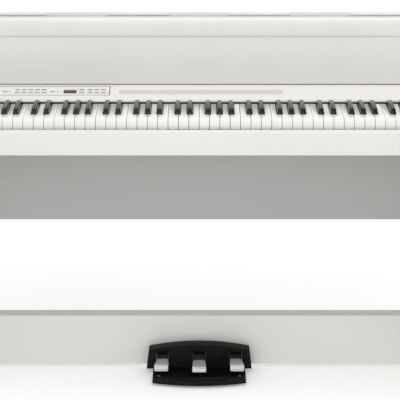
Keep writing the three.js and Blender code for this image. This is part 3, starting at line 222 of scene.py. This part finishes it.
SATIN_NICKEL = finish("satin_nickel", (0.68, 0.675, 0.66), (0.26, 0.4), (300, 0.00002), 0.08,
                      worn=((0.82, 0.81, 0.79), 0.0006), metallic=0.35, stretch=(6, 0.3, 6))
ZINC_STEEL = finish("zinc_steel", (0.52, 0.52, 0.53), (0.28, 0.45), (500, 0.00002), 0.12,
                    worn=((0.7, 0.7, 0.7), 0.0005), metallic=1.0, stretch=(0.3, 5, 5))
# painted shade: near-black steel for the pedal stems, which stand in the shade inside the housing's slots
SLOT_SHADE_STEEL = finish("slot_shade_steel", (0.010, 0.010, 0.0098), (0.45, 0.6), (400, 0.00004), 0.3,
                   worn=((0.05, 0.05, 0.048), 0.0006), metallic=0.2, Specular_IOR_Level=0.3)
BOX_BOARD = finish("black_box_board", (0.03, 0.029, 0.028), (0.6, 0.8), (300, 0.00012), 0.3)
RUBBER = finish("rubber", (0.025, 0.025, 0.025), (0.7, 0.9), (1200, 0.00008), 0.3)
CHASSIS_GREY = finish("chassis_grey", (0.10, 0.10, 0.105), (0.45, 0.6), (900, 0.00004), 0.15)
CONE_PAPER = finish("cone_paper", (0.035, 0.033, 0.03), (0.75, 0.95), (700, 0.00015), 0.35)
print("materials:", len(bpy.data.materials))

# %% [markdown]
# ## Cloth, felt, circuit board and display
# The speaker cloth is a plain weave: threads pass over and under each other, so its pattern is two sets of
# waves at right angles. A picture of cloth would blur up close, so the waves are computed. The felt is
# short wool with fibres in every direction, which a coarse noise on a very rough, sheened surface shows.
# The circuit boards carry copper tracks in a rectangular maze. The display is dark red plastic over unlit
# segments.

# %% Mix the cloth
THREAD = 0.0011  # from one thread to the next


def woven(name, colour, thread):
    """A plain weave of threads in X and Z, with a thicker thread here and there."""
    material, tree, shader = new_material(name)
    place = place_in_metres(tree)
    per_metre = math.pi / (10 * thread)  # a wave texture of scale 1 has 20 / (2 pi) waves to the metre
    waves = []
    for direction in ("X", "Z"):
        settings = {"bands_direction": direction, "wave_profile": "SIN"}
        sockets = dict(Vector=place, Scale=per_metre, Distortion=0.4, Detail=1.0)
        waves.append(add_node(tree, "ShaderNodeTexWave", settings, **sockets).outputs["Fac"])
    weave = add_node(tree, "ShaderNodeMath", {"operation": "MULTIPLY"}, i0=waves[0], i1=waves[1]).outputs[0]
    slub = noise(tree, place_in_metres(tree, (1, 1, 14)), 70.0)
    dark, pale = rgb(colour, 0.55), rgb(colour, 1.25)
    threads = mix_colours(tree, spread(tree, weave, 0.0, 0.6, 0.0, 1.0), dark, pale)
    thick = spread(tree, slub, 0.4, 0.7, 0.0, 0.12)
    tree.links.new(mix_colours(tree, thick, threads, dark), shader.inputs["Base Color"])
    add_bump(tree, shader, 0.7, thread / 4, weave)
    tree.links.new(spread(tree, slub, 0.3, 0.7, 0.85, 0.97), shader.inputs["Roughness"])
    shader.inputs["Sheen Weight"].default_value = 0.2
    return material


GRILLE_CLOTH = woven("grille_cloth", (0.56, 0.56, 0.55), THREAD)
FELT = finish("red_felt", (0.035, 0.006, 0.007), (0.9, 1.0), (1600, 0.0004), 0.45, Sheen_Weight=0.6)


# %% Mix the circuit board and the display
def circuit(name):
    """Green board with a maze of copper tracks under its varnish."""
    material, tree, shader = new_material(name)
    settings = {"offset": 0.37, "squash": 0.6}
    board = dict(Color1=(0.012, 0.075, 0.03, 1), Color2=(0.016, 0.09, 0.036, 1))
    tracks = add_node(tree, "ShaderNodeTexBrick", settings, Vector=place_in_metres(tree), Scale=60.0,
                      Mortar_Size=0.03, Mortar=(0.035, 0.16, 0.06, 1), **board)
    tree.links.new(tracks.outputs["Color"], shader.inputs["Base Color"])
    tree.links.new(spread(tree, tracks.outputs["Fac"], 0, 1, 0.35, 0.5), shader.inputs["Roughness"])
    add_bump(tree, shader, 0.4, 0.0001, tracks.outputs["Fac"])
    return material


CIRCUIT = circuit("circuit_board")
DISPLAY_RED = finish("display_red", (0.020, 0.007, 0.0075), (0.06, 0.14), (60, 0.000005), 0.3,
                     Coat_Weight=0.5)
SEGMENT_RED = finish("segment_red", (0.085, 0.032, 0.032), (0.3, 0.4), (2000, 0.00001), 0.3)
print("materials:", len(bpy.data.materials))

# %% [markdown]
# ## Rounding the edges
# No board or moulding leaves a workshop with a knife edge. The mechanical model has the big radii, but its
# other edges are sharp. Each piece is therefore rebuilt from its node: the triangles of a flat face are
# merged into one face, and a bevel modifier rounds every edge that turns more than 35 degrees. Curved
# stretches turn less than that from facet to facet, so they keep their shape and are only shaded smooth.

# %% The rounding tool
SHARP = math.radians(35)
SAME_POINT = 1e-6  # corners closer than this are one
SAME_PLANE = math.radians(0.6)  # faces that turn less than this are one


def finish_mesh(obj, material, smooth_angle=SHARP):
    """Applies the modifiers, shades the piece smooth up to the angle, and gives it its one material."""
    bpy.context.view_layer.update()
    evaluated = obj.evaluated_get(bpy.context.evaluated_depsgraph_get())
    mesh = bpy.data.meshes.new_from_object(evaluated)
    obj.modifiers.clear()
    obj.data = mesh
    mesh.name = obj.name
    mesh.shade_smooth()
    mesh.set_sharp_from_angle(angle=smooth_angle)
    mesh.materials.clear()
    mesh.materials.append(material)
    return obj


def new_object(name, bm):
    """Turns a bmesh into a linked object."""
    mesh = bpy.data.meshes.new(name)
    bmesh.ops.recalc_face_normals(bm, faces=bm.faces)
    bm.to_mesh(mesh)
    bm.free()
    obj = bpy.data.objects.new(name, mesh)
    bpy.context.scene.collection.objects.link(obj)
    return obj


def add_bevel(obj, width, segments=3):
    bevel = obj.modifiers.new("edges", "BEVEL")
    bevel.width = width
    bevel.segments = segments
    bevel.limit_method = "ANGLE"
    bevel.angle_limit = SHARP
    return obj


def rounded(node, name, material, width, segments=3):
    """A rounded copy of a node that stands for it and rides where it rides."""
    bm = bmesh.new()
    bm.from_mesh(nodes[node].data)
    bmesh.ops.remove_doubles(bm, verts=bm.verts, dist=SAME_POINT)
    bmesh.ops.dissolve_limit(bm, angle_limit=SAME_PLANE, verts=bm.verts, edges=bm.edges)
    piece = finish_mesh(add_bevel(new_object(name, bm), width, segments), material)
    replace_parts(piece, node)
    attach(piece, body_of_node[node])
    return piece


# %% [markdown]
# ## Case and stand
# The boards are foil-wrapped, so their edges are round enough for the foil to bend over without cracking,
# about 1.2 mm. The thin batten and the moulded panel have tighter edges.

# %% Round the boards
FOIL_EDGE, BATTEN_EDGE, PANEL_EDGE, BOX_EDGE = 0.0012, 0.0008, 0.0004, 0.001
BOARDS = {
    "side_panel_left": "left_side_panel", "side_panel_right": "right_side_panel",
    "pedal_board": "cross_board", "keybed": "keybed_board", "back_panel": "back_board",
    "rear_deck": "rear_top_board", "key_slip": "front_key_slip", "cheek_block_left": "bass_cheek",
    "cheek_block_right": "treble_cheek", "lid_rear": "lid_rear_half", "lid_front": "lid_front_half",
    "lid_batten": "lid_inner_batten",
}
for node, name in BOARDS.items():
    rounded(node, name, WHITE_FOIL, BATTEN_EDGE if node == "lid_batten" else FOIL_EDGE)
rounded("control_panel", "panel_moulding", PANEL_PLASTIC, PANEL_EDGE, 2)
rounded("speaker_box", "speaker_enclosure", BOX_BOARD, BOX_EDGE)
print("boards:", len(BOARDS))

# %% [markdown]
# ## Keys
# A white key is a moulded shell with a polished top whose edges are only just broken, 0.6 mm. A black key
# has a much rounder top. Both kinds come from the mechanical model, which knows where each black key cuts
# into its neighbours.

# %% Round the keys
WHITE_EDGE, BLACK_EDGE = 0.0006, 0.0014
KEY_NODES = [node for node in nodes if node.startswith("key_") and node.endswith("4")]
for node in KEY_NODES:
    if "sharp" in node:
        rounded(node, node + "_cap", BLACK_KEY, BLACK_EDGE, 4)
    else:
        rounded(node, node + "_cap", WHITE_KEY, WHITE_EDGE)
rounded("white_keys", "other_white_keys", WHITE_KEY, WHITE_EDGE)
rounded("black_keys", "other_black_keys", BLACK_KEY, BLACK_EDGE, 4)
print("separate keys:", len(KEY_NODES))

# %% [markdown]
# ## Small parts
# Buttons, the display window, the hinge and the fittings are rounded in the same way, each with a radius
# that suits its size. What is hidden inside the case keeps its mechanical shape and gets its finish.

# %% Round the small parts
SMALL_PARTS = [
    ("sound_buttons", "sound_button_caps", BUTTON, "button_plastic", 0.0005),
    ("function_buttons", "function_button_caps", BUTTON, "button_plastic", 0.0005),
    ("value_down_button", "value_down_cap", BUTTON, "button_plastic", 0.0005),
    ("value_up_button", "value_up_cap", BUTTON, "button_plastic", 0.0005),
    ("power_button", "power_cap", BUTTON, "button_plastic", 0.0005),
    ("volume_slider", "volume_knob", BUTTON, "button_plastic", 0.0004),
    ("display_window", "display_lens", DISPLAY_RED, "display_red", 0.0004),
    ("felt_strip", "name_felt", FELT, "felt", 0.0008),
    ("speaker_grille", "cloth_frame", GRILLE_CLOTH, "grille_cloth", 0.002),
    ("pedal_base", "pedal_floor_plate", BLACK_PLASTIC, "black_plastic", 0.0015),
    ("pedal_housing", "pedal_cover", BLACK_PLASTIC, "black_plastic", 0.002),
    ("dc_inlet", "power_inlet", BLACK_PLASTIC, "black_plastic", 0.0003),
    ("fold_hinge_rear_leaf", "hinge_rear_leaf", HINGE_ENAMEL, "hinge_enamel", 0.0002),
    ("fold_hinge_front_leaf", "hinge_front_leaf", HINGE_ENAMEL, "hinge_enamel", 0.0002),
]
for node, name, material, slot, width in SMALL_PARTS:
    rounded(node, name, material, width, 2)
FEET = [node for node in nodes if node.startswith("foot_")]
for node in FEET:
    rounded(node, node + "_glide", RUBBER, 0.001)
print("small parts:", len(SMALL_PARTS) + len(FEET))

# %% Finish what stays as it is
KEPT = {
    "key_pivot_rod": ZINC_STEEL, "lid_pin_left": ZINC_STEEL, "lid_pin_right": ZINC_STEEL,
    "pedal_shaft": ZINC_STEEL, "pedal_spring": ZINC_STEEL, "main_board": CIRCUIT, "contact_board": CIRCUIT,
    "key_chassis": CHASSIS_GREY, "speaker_left": CONE_PAPER, "speaker_right": CONE_PAPER,
    "pedal_adjuster": RUBBER,
}
for node, material in KEPT.items():
    data = nodes[node].data
    data.materials.clear()
    data.materials.append(material)
print("kept as they are:", len(KEPT))

# %% [markdown]
# ## Marks on the control panel
# Pad printing leaves a film of ink a few hundredths of a millimetre thick. It could be painted by the
# panel's material, but a mark that is a thin piece of its own keeps a crisp edge and an exact place. All of
# them are made from one outline tool, in the panel's own slope: x along the panel, up its slope, and a
# height out of it. The marks are plain bars, lines and ticks, because captions would be somebody's words.

# %% A frame that lies on the panel
SLOPE = math.atan2(high("value_up_button").z - high("value_down_button").z,
                   high("value_up_button").y - high("value_down_button").y)
slope_corner = Vector((0, panel_rear.y, panel_rear.z))  # top rear edge of the panel
ON_PANEL = Matrix.Translation(slope_corner) @ Matrix.Rotation(SLOPE, 4, "X")


def up_slope(node):
    """How far down the slope from the panel's rear edge the middle of a node lies (a negative number)."""
    start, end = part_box(node)
    middle = (start + end) / 2
    return (ON_PANEL.inverted() @ middle).y


def across(node):
    start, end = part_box(node)
    return (start.x + end.x) / 2


rows = (up_slope("value_down_button"), up_slope("value_up_button"))
print("slope:", round(math.degrees(SLOPE), 2), "rows:", [round(r, 4) for r in rows])


# %% Flat marks
def flat_marks(name, shapes, thickness, transform, material, body):
    """Thin raised shapes on a surface. A shape is a list of (x, up) corners."""
    bm = bmesh.new()
    for corners in shapes:
        lower = [bm.verts.new(transform @ Vector((x, up, 0))) for x, up in corners]
        upper = [bm.verts.new(transform @ Vector((x, up, thickness))) for x, up in corners]
        bm.faces.new(list(reversed(lower)))
        bm.faces.new(upper)
        for i in range(len(corners)):
            j = (i + 1) % len(corners)
            bm.faces.new((lower[i], lower[j], upper[j], upper[i]))
    obj = finish_mesh(new_object(name, bm), material)
    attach(obj, body)
    return obj


def bar(x, up, width, length, lean=0.0):
    """A bar centred on (x, up); lean shifts its upper end sideways."""
    w, h = width / 2, length / 2
    return [(x - w - lean, up - h), (x + w - lean, up - h), (x + w + lean, up + h), (x - w + lean, up + h)]


def rounded_bar(x, up, width, length, steps=5):
    """A bar whose ends are half circles."""
    radius = length / 2
    turns = [math.pi * (i / steps - 0.5) for i in range(steps + 1)]
    right = [(x + width / 2 - radius + radius * math.cos(t), up + radius * math.sin(t)) for t in turns]
    left = [(2 * x - px, 2 * up - pu) for px, pu in right]
    return right + left


# %% Find the caps
BUTTON_COLUMNS = {"sound_buttons": 5, "function_buttons": 3}
FLANGE = 1.6 * MM  # how much wider than its cap a value button's hidden flange is
SHEET_EDGE = 1 * MM  # the moulded sheet reaches this far past its outer caps
cap_width = high("value_up_button").x - low("value_up_button").x - FLANGE
caps = []
for node, count in BUTTON_COLUMNS.items():
    left, right = low(node).x + cap_width / 2 + SHEET_EDGE, high(node).x - cap_width / 2 - SHEET_EDGE
    caps += [left + (right - left) * i / (count - 1) for i in range(count)]
rows_middle = sum(rows) / 2
display_x = across("display_window")
print("columns of caps:", [round(x, 4) for x in caps])

# %% The outline round the buttons
LINE, END_LINE = 1.7 * MM, 2 * MM
FROM_PANEL_END, PAST_CAPS, BELOW_ROWS, ABOVE_ROWS = 14 * MM, 15 * MM, 12.5 * MM, 19.5 * MM
box_left, box_right = -inside + FROM_PANEL_END, max(caps) + PAST_CAPS
box_low, box_high = rows[0] - BELOW_ROWS, rows[1] + ABOVE_ROWS
outline_marks = [
    bar((box_left + box_right) / 2, box_low, box_right - box_left, LINE),
    bar((box_left + box_right) / 2, box_high, box_right - box_left, LINE),
    bar(box_left, (box_low + box_high) / 2, LINE, box_high - box_low + LINE),
    bar(box_right, (box_low + box_high) / 2, END_LINE, box_high - box_low + LINE),
]
print("outline:", round(box_right - box_left, 4), "by", round(box_high - box_low, 4))

# %% Bars, ticks and the lamp's ring
BEFORE_CAPS, BEFORE_DISPLAY = 7 * MM, 19 * MM
LABEL, LABEL_BACK = (12 * MM, 3.2 * MM), 22 * MM  # width and height, and how far to the left of its place
TICK, TICK_BACK = (1.5 * MM, 8 * MM), 10.5 * MM
SCALE_UP, SCALE_WIDTH, SCALE_SHORTEST = 10.5 * MM, 0.7 * MM, 2.2 * MM
SCALE_GROWTH = 0.1  # a tick is this much longer for each millimetre from the middle
POWER_UP, POWER_BAR = 11 * MM, (6 * MM, 1 * MM)
LAMP_BEFORE_DISPLAY, LAMP_INNER, LAMP_OUTER, LAMP_STEPS = 23 * MM, 1.5 * MM, 2.1 * MM, 16


def scale_mark(offset):
    """One tick of the volume slider's scale, offset in millimetres from its middle."""
    length = SCALE_SHORTEST + abs(offset) * SCALE_GROWTH * MM
    return bar(across("volume_slider") + offset * MM, rows_middle + SCALE_UP, SCALE_WIDTH, length)


def lamp_piece(start, end):
    """A piece of the ring round the lamp, between two angles."""
    corners = ((LAMP_INNER, start), (LAMP_OUTER, start), (LAMP_OUTER, end), (LAMP_INNER, end))
    lamp_x = display_x - LAMP_BEFORE_DISPLAY
    return [(lamp_x + r * math.cos(turn), rows_middle + r * math.sin(turn)) for r, turn in corners]


label_marks = []
for anchor in (min(caps) - BEFORE_CAPS, display_x - BEFORE_DISPLAY):
    label_marks.append(bar(anchor - LABEL_BACK, rows_middle, *LABEL))
    label_marks.append(bar(anchor - TICK_BACK, rows_middle, *TICK))
scale_marks = [scale_mark(offset) for offset in range(-15, 16, 5)]
power_mark = [bar(across("power_button"), rows_middle + POWER_UP, *POWER_BAR)]
turns = [math.pi * k / (LAMP_STEPS / 2) for k in range(LAMP_STEPS + 1)]
lamp_ring = [lamp_piece(start, end) for start, end in zip(turns, turns[1:])]
print("bars and ticks:", len(label_marks) + len(scale_marks) + len(power_mark))

# %% Print the marks
INK_FILM = 0.00008
CAP_HEIGHT = 0.0012
CAP_BAR, CAP_BAR_UP = (10.5 * MM, 2.9 * MM), 0.6 * MM
ON_CAPS = ON_PANEL @ Matrix.Translation((0, 0, CAP_HEIGHT))
panel_marks = outline_marks + label_marks + scale_marks + power_mark + lamp_ring
flat_marks("panel_print", panel_marks, INK_FILM, ON_PANEL, INK, "case")
cap_marks = [bar(x, row + CAP_BAR_UP, *CAP_BAR) for x in caps for row in rows]
flat_marks("button_bars", cap_marks, INK_FILM, ON_CAPS, INK, "case")
for node, row in zip(("value_down_button", "value_up_button"), rows):
    mark = bar(across(node), row + CAP_BAR_UP, *CAP_BAR)
    flat_marks(node + "_bar", [mark], INK_FILM, ON_CAPS, INK, node)
print("marks:", len(panel_marks) + len(cap_marks) + 2)

# %% [markdown]
# The ledge for sheet music is a shallow wedge cut into the panel: deep at its rear wall, and running out at
# the front. Its floor carries painted shade: a thin, matt, slightly darker film on the floor's own slope, a
# few tenths of a millimetre short of the ledge's edges, that stands in for the shade inside the recess.

# %% Lay the painted shade in the ledge
LEDGE_START, LEDGE_WIDTH, LEDGE_DEPTH = 12.3 * MM, 24 * MM, 2.2 * MM
FIRST_ROW_UP = 20.6 * MM
SHADE_SHIFT, SHADE_LENGTH, SHADE_UP, SHADE_NARROWER = 4 * MM, 388 * MM, 0.4 * MM, 1.6 * MM
SHADE_FILM = 0.0001
ledge_low = rows[0] + LEDGE_START - FIRST_ROW_UP
ON_LEDGE = (ON_PANEL @ Matrix.Translation((SHADE_SHIFT, ledge_low, 0))
            @ Matrix.Rotation(-math.atan2(LEDGE_DEPTH, LEDGE_WIDTH), 4, "X"))
# painted shade: a film darker than the panel, standing in for the shade inside the recess
LEDGE_SHADE = finish("ledge_painted_shade", (0.60, 0.588, 0.555), (0.6, 0.75), (1400, 0.00006), 0.04)
ledge_shade = rounded_bar(0, LEDGE_WIDTH / 2 + SHADE_UP, SHADE_LENGTH, LEDGE_WIDTH - SHADE_NARROWER, 6)
flat_marks("ledge_painted_shade", [ledge_shade], SHADE_FILM, ON_LEDGE, LEDGE_SHADE, "case")
print("grip:", SHADE_LENGTH, "by", round(LEDGE_WIDTH - SHADE_NARROWER, 4))

# %% [markdown]
# ## Display
# Behind the dark red window stand three digits of seven segments each. Unlit segments look a little lighter
# than the window. They are slim six-sided bars, as on the real thing, on a film just over the window's
# surface.

# %% Make the segments
SEGMENT_LONG, SEGMENT_WIDE, HALF_SQUARE = 4.4 * MM, 0.9 * MM, 2.45 * MM
DIGIT_SPACING = 8.5 * MM
SEGMENT_BASE, SEGMENT_FILM = -0.00028, 0.00005  # the window lies 0.3 mm below the panel


def segment(x, up, long, wide, upright):
    tip, half = wide / 2, long / 2
    shape = [
        (-half, 0), (-half + tip, -tip), (half - tip, -tip), (half, 0), (half - tip, tip), (-half + tip, tip),
    ]
    return [(x - b, up + a) for a, b in shape] if upright else [(x + a, up + b) for a, b in shape]


def digit(x, up):
    """Seven segments round two squares, about 5 mm wide and 10 mm high."""
    size, step = (SEGMENT_LONG, SEGMENT_WIDE), HALF_SQUARE
    flat = [segment(x, up + k * 2 * step, *size, False) for k in (-1, 0, 1)]
    standing = [segment(x + side * step, up + k * step, *size, True) for side in (-1, 1) for k in (-1, 1)]
    return flat + standing


ON_WINDOW = ON_PANEL @ Matrix.Translation((0, 0, SEGMENT_BASE))
digits = [shape for k in (-1, 0, 1) for shape in digit(display_x + k * DIGIT_SPACING, rows_middle)]
flat_marks("display_segments", digits, SEGMENT_FILM, ON_WINDOW, SEGMENT_RED, "case")
print("segments:", len(digits))

# %% [markdown]
# ## Pedals
# A pedal is a bent and plated casting. Its tread leaves the housing through a slot, widens towards the
# player, has a crease across it, and rolls down into a lip. It is lofted: one flat ring is carried along
# the bend, with a height, a slope and two half widths for each station, and a subdivision smooths it. The
# stem that turns on the shaft is a plain block behind the housing's wall. It is a piece of its own, which
# moves with its tread, coloured near black as painted shade for the shade it stands in inside the slot.

# %% A loft
def loft(bm, rings):
    """Skins rings of points into one closed body."""
    made = [[bm.verts.new(point) for point in ring] for ring in rings]
    for ring, after in zip(made, made[1:]):
        for i in range(len(ring)):
            j = (i + 1) % len(ring)
            bm.faces.new((ring[i], ring[j], after[j], after[i]))
    bm.faces.new(made[0])
    bm.faces.new(list(reversed(made[-1])))


# %% The tread's stations
# Share of the way from the housing to the tip, drop of the top in mm, slope in degrees, and share of the
# full width.
TREAD = [
    (-0.06, -0.1, 1, 0.0), (0.0, 0.0, 1, 0.0), (0.04, 0.1, 1, 0.05), (0.35, 0.8, 2, 0.48),
    (0.62, 1.6, 3, 0.86), (0.79, 2.1, 4, 1.0), (0.81, 2.3, 14, 1.0), (0.825, 5.0, 10, 1.0),
    (0.87, 5.2, -6, 1.0), (0.885, 3.0, -4, 1.0), (0.905, 2.9, 8, 0.99), (0.935, 4.1, 32, 0.97),
    (0.96, 6.4, 54, 0.95), (0.978, 9.2, 70, 0.93), (0.99, 12.0, 80, 0.91), (0.996, 14.0, 86, 0.90),
]
TREAD_THICKNESS = 3.2 * MM
SECTION = [  # round the tread: share of the half width, and share of the thickness
    (-1, -0.5), (-1, 0.5), (-0.88, 0.54), (0, 0.6), (0.88, 0.54), (1, 0.5), (1, -0.5), (0.88, -0.5),
    (-0.88, -0.5),
]
FULL_HALF = 17.5 * MM
# Half widths at the housing in mm, to the left and to the right.
ROOT_HALVES = {"soft_pedal": (11.0, 16.5), "sostenuto_pedal": (14.3, 14.3), "damper_pedal": (16.5, 11.0)}
TREAD_TOP = {"soft_pedal": 38 * MM, "sostenuto_pedal": 34.5 * MM, "damper_pedal": 38 * MM}
LIP_DROP = {"soft_pedal": 1.0, "sostenuto_pedal": 0.75, "damper_pedal": 1.0}  # share of a station's drop
GENTLE = math.radians(60)  # turns up to this are shaded smooth
wall_front = low("pedal_housing").y

# The stem, behind the wall's front: two corners of its nose with their drops below the tread's top.
STEM_NOSE = [(1 * MM, 3 * MM), (5 * MM, 0.5 * MM)]
STEM_SHOULDER, STEM_HEEL = 11 * MM, 3 * MM  # where its full height and its bottom begin
STEM_BOTTOM, STEM_EDGE = 28 * MM, 0.0012


def tread(node):
    """The plated tread of one pedal."""
    middle, tip = across(node), low(node).y
    rings = []
    for along, drop, slope, share in TREAD:
        turn = Matrix.Rotation(math.radians(slope), 3, "X")
        top = TREAD_TOP[node] - drop * LIP_DROP[node] * MM
        y = wall_front - along * (wall_front - tip - TREAD_THICKNESS / 2)
        centre = Vector((middle, y, top - TREAD_THICKNESS / 2))
        widths = [root * MM * (1 - share) + FULL_HALF * share for root in ROOT_HALVES[node]]
        ring = []
        for side, up in SECTION:
            x = side * (widths[0] if side < 0 else widths[1])
            ring.append(centre + turn @ Vector((x, 0, up * TREAD_THICKNESS)))
        rings.append(ring)
    bm = bmesh.new()
    loft(bm, rings)
    obj = new_object(node + "_tread", bm)
    smooth = obj.modifiers.new("smooth", "SUBSURF")
    smooth.levels = smooth.render_levels = 2
    finish_mesh(obj, SATIN_NICKEL, GENTLE)
    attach(obj, node)
    return obj


def stem(node):
    """The block on the shaft, behind the housing's wall."""
    left, right = across(node) - ROOT_HALVES[node][0] * MM, across(node) + ROOT_HALVES[node][1] * MM
    rear, top = high(node).y, high(node).z
    corners = [(wall_front + back, TREAD_TOP[node] - below) for back, below in STEM_NOSE]
    corners += [(wall_front + STEM_SHOULDER, top), (rear, top)]
    corners += [(rear, STEM_BOTTOM), (wall_front + STEM_HEEL, STEM_BOTTOM)]
    bm = bmesh.new()
    loft(bm, [[Vector((x, y, z)) for y, z in corners] for x in (left, right)])
    # painted shade: the stem is coloured near black for the shade inside its slot
    obj = finish_mesh(add_bevel(new_object(node + "_stem", bm), STEM_EDGE), SLOT_SHADE_STEEL)
    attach(obj, node)
    return obj


# %% Make the pedals
for node in ROOT_HALVES:
    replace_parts(tread(node), node)
    stem(node)
print("pedals at x:", [round(across(node), 3) for node in ROOT_HALVES])

# %% [markdown]
# ## Screws and rib of the pedal unit
# The floor plate of the pedal unit is held by two pan-head screws: low domes with a cross pressed into
# them. A dome is a square grid bent into a disc, because a grid has vertices where the cross needs them. A
# low half-round rib with tapered ends stiffens the plate.

# %% A screw's head
GRID = 16  # squares along each side of the grid
CROSS_REACH, CROSS_HALF = 0.6, 0.15  # shares of the radius: length of an arm and half its width
FULLNESS = 0.9  # 1 would be half an ellipsoid, which meets the plate upright
FOOT = 0.4  # share of the rise that the head's rim goes down into the plate


def screw_head(bm, centre, radius, rise, cross):
    """A low dome that faces up; cross is the depth of its recess."""
    grid = []
    for i in range(GRID + 1):
        row = []
        for j in range(GRID + 1):
            u, v = 2 * i / GRID - 1, 2 * j / GRID - 1
            reach = max(abs(u), abs(v))
            length = math.hypot(u, v) or 1.0
            x, y = u * reach / length, v * reach / length
            height = rise * math.sqrt(max(0.0, 1 - FULLNESS * reach * reach))
            if reach < CROSS_REACH and min(abs(u), abs(v)) < CROSS_HALF:
                height -= cross
            row.append(bm.verts.new(Vector(centre) + Vector((x * radius, y * radius, height))))
        grid.append(row)
    for i in range(GRID):
        for j in range(GRID):
            bm.faces.new((grid[i][j], grid[i + 1][j], grid[i + 1][j + 1], grid[i][j + 1]))
    rim = [grid[i][0] for i in range(GRID)] + [grid[GRID][j] for j in range(GRID)]
    rim += [grid[i][GRID] for i in range(GRID, 0, -1)] + [grid[0][j] for j in range(GRID, 0, -1)]
    foot = [bm.verts.new(vert.co - Vector((0, 0, rise * FOOT))) for vert in rim]
    for i in range(len(rim)):
        j = (i + 1) % len(rim)
        bm.faces.new((rim[i], foot[i], foot[j], rim[j]))
    bm.faces.new(foot)


# %% Drive the screws
SCREW_RADIUS, SCREW_RISE, SCREW_CROSS = 2.6 * MM, 1.3 * MM, 0.8 * MM
SCREW_X, SCREW_Y = 0.1, 0.048
plate_top = high("pedal_base").z
bm = bmesh.new()
for x in (-SCREW_X, SCREW_X):
    screw_head(bm, (x, SCREW_Y, plate_top), SCREW_RADIUS, SCREW_RISE, SCREW_CROSS)
screws = finish_mesh(new_object("floor_plate_screws", bm), ZINC_STEEL)
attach(screws, "case")
print("screws at x:", [-SCREW_X, SCREW_X])

# %% Raise the rib
RIB_ENDS, RIB_Y, RIB_WIDTH, RIB_HEIGHT = (-0.098, 0.098), 0.034, 5 * MM, 1.8 * MM
RIB_STEPS, RIB_SINK = 24, 0.0002
RIB_END_SHARE, RIB_TAPER = 0.15, 8  # share of the full size at an end, and how fast it grows from there
HALF_ROUND = [math.pi * k / 8 for k in range(9)]
rings = []
for i in range(RIB_STEPS + 1):
    t = i / RIB_STEPS
    fade = min(1.0, RIB_TAPER * min(t, 1 - t) + RIB_END_SHARE)
    x = RIB_ENDS[0] + (RIB_ENDS[1] - RIB_ENDS[0]) * t
    ring = []
    for turn in HALF_ROUND:
        y = RIB_Y + RIB_WIDTH / 2 * fade * math.cos(turn)
        ring.append(Vector((x, y, plate_top + RIB_HEIGHT * fade * math.sin(turn) - RIB_SINK)))
    rings.append(ring)
bm = bmesh.new()
loft(bm, rings)
rib = finish_mesh(new_object("floor_plate_rib", bm), BLACK_PLASTIC, GENTLE)
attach(rib, "case")
print("rib:", round(RIB_ENDS[1] - RIB_ENDS[0], 4))

# %% [markdown]
# ## Camera, floor and light
# A long lens stands about 4.2 m in front of the piano and looks down on it by 16 degrees, so that the
# uprights stay nearly parallel. The floor is one large pale sheet. Two broad lights and a bright
# surrounding give almost no shadow, as in a product studio.

# %% Set up the camera
FILM_WIDTH = 36.0
CAMERA_PLACE, CAMERA_PITCH, CAMERA_LENS = (0.002, -4.238, 1.682), 15.864, 166.84  # pitch: degrees below level


def look_from(place, pitch, lens):
    data = bpy.data.cameras.new("studio_camera")
    data.lens = lens
    data.sensor_width = FILM_WIDTH
    data.clip_end = 100.0
    camera = bpy.data.objects.new("studio_camera", data)
    camera.location = place
    camera.rotation_euler = (math.radians(90 - pitch), 0, 0)
    bpy.context.scene.collection.objects.link(camera)
    bpy.context.scene.camera = camera


look_from(CAMERA_PLACE, CAMERA_PITCH, CAMERA_LENS)
print("camera:", CAMERA_PLACE)

# %% Lay the floor
FLOOR_HALF = 30.0
FLOOR_GLOW, FAR_GLOW = 0.25, 0.75  # a lit sweep: the floor stays pale everywhere in the camera's view
GLOW_START, GLOW_END = 0.8, 4.0  # how far behind the piano the glow starts and stops rising
bm = bmesh.new()
bmesh.ops.create_grid(bm, x_segments=1, y_segments=1, size=FLOOR_HALF)
floor = new_object("studio_floor", bm)
FLOOR = finish("studio_floor", (0.93, 0.93, 0.93), (0.7, 0.8), (20, 0.0001), 0.005)
tree = FLOOR.node_tree
shader = tree.nodes["Principled BSDF"]
shader.inputs["Emission Color"].default_value = (1, 1, 1, 1)
depth = add_node(tree, "ShaderNodeSeparateXYZ", Vector=place_in_metres(tree)).outputs["Y"]
glow = spread(tree, depth, GLOW_START, GLOW_END, FLOOR_GLOW, FAR_GLOW)
tree.links.new(glow, shader.inputs["Emission Strength"])
floor.data.materials.append(FLOOR)
print("floor:", 2 * FLOOR_HALF, "m wide")

# %% Switch on the lights
SURROUNDING = 0.52
SOFTBOXES = [  # name, place, target, size, power
    ("front_light", (-1.0, -4.8, 2.6), (0, 0, 0.5), (4.0, 2.0), 36),
    ("top_light", (0.3, -1.0, 3.2), (0, 0, 0.6), (5.0, 2.5), 64),
]


def softbox(name, place, target, size, power):
    data = bpy.data.lights.new(name, "AREA")
    data.shape = "RECTANGLE"
    data.size, data.size_y = size
    data.energy = power
    light = bpy.data.objects.new(name, data)
    light.location = place
    light.rotation_euler = (Vector(target) - Vector(place)).to_track_quat("-Z", "Y").to_euler()
    bpy.context.scene.collection.objects.link(light)


world = bpy.data.worlds.new("studio")
world.use_nodes = True
background = world.node_tree.nodes["Background"]
background.inputs["Color"].default_value = (1.0, 1.0, 1.0, 1.0)
background.inputs["Strength"].default_value = SURROUNDING
bpy.context.scene.world = world
for settings in SOFTBOXES:
    softbox(*settings)
bpy.context.scene.view_settings.view_transform = "Standard"
print("lights:", len(SOFTBOXES))
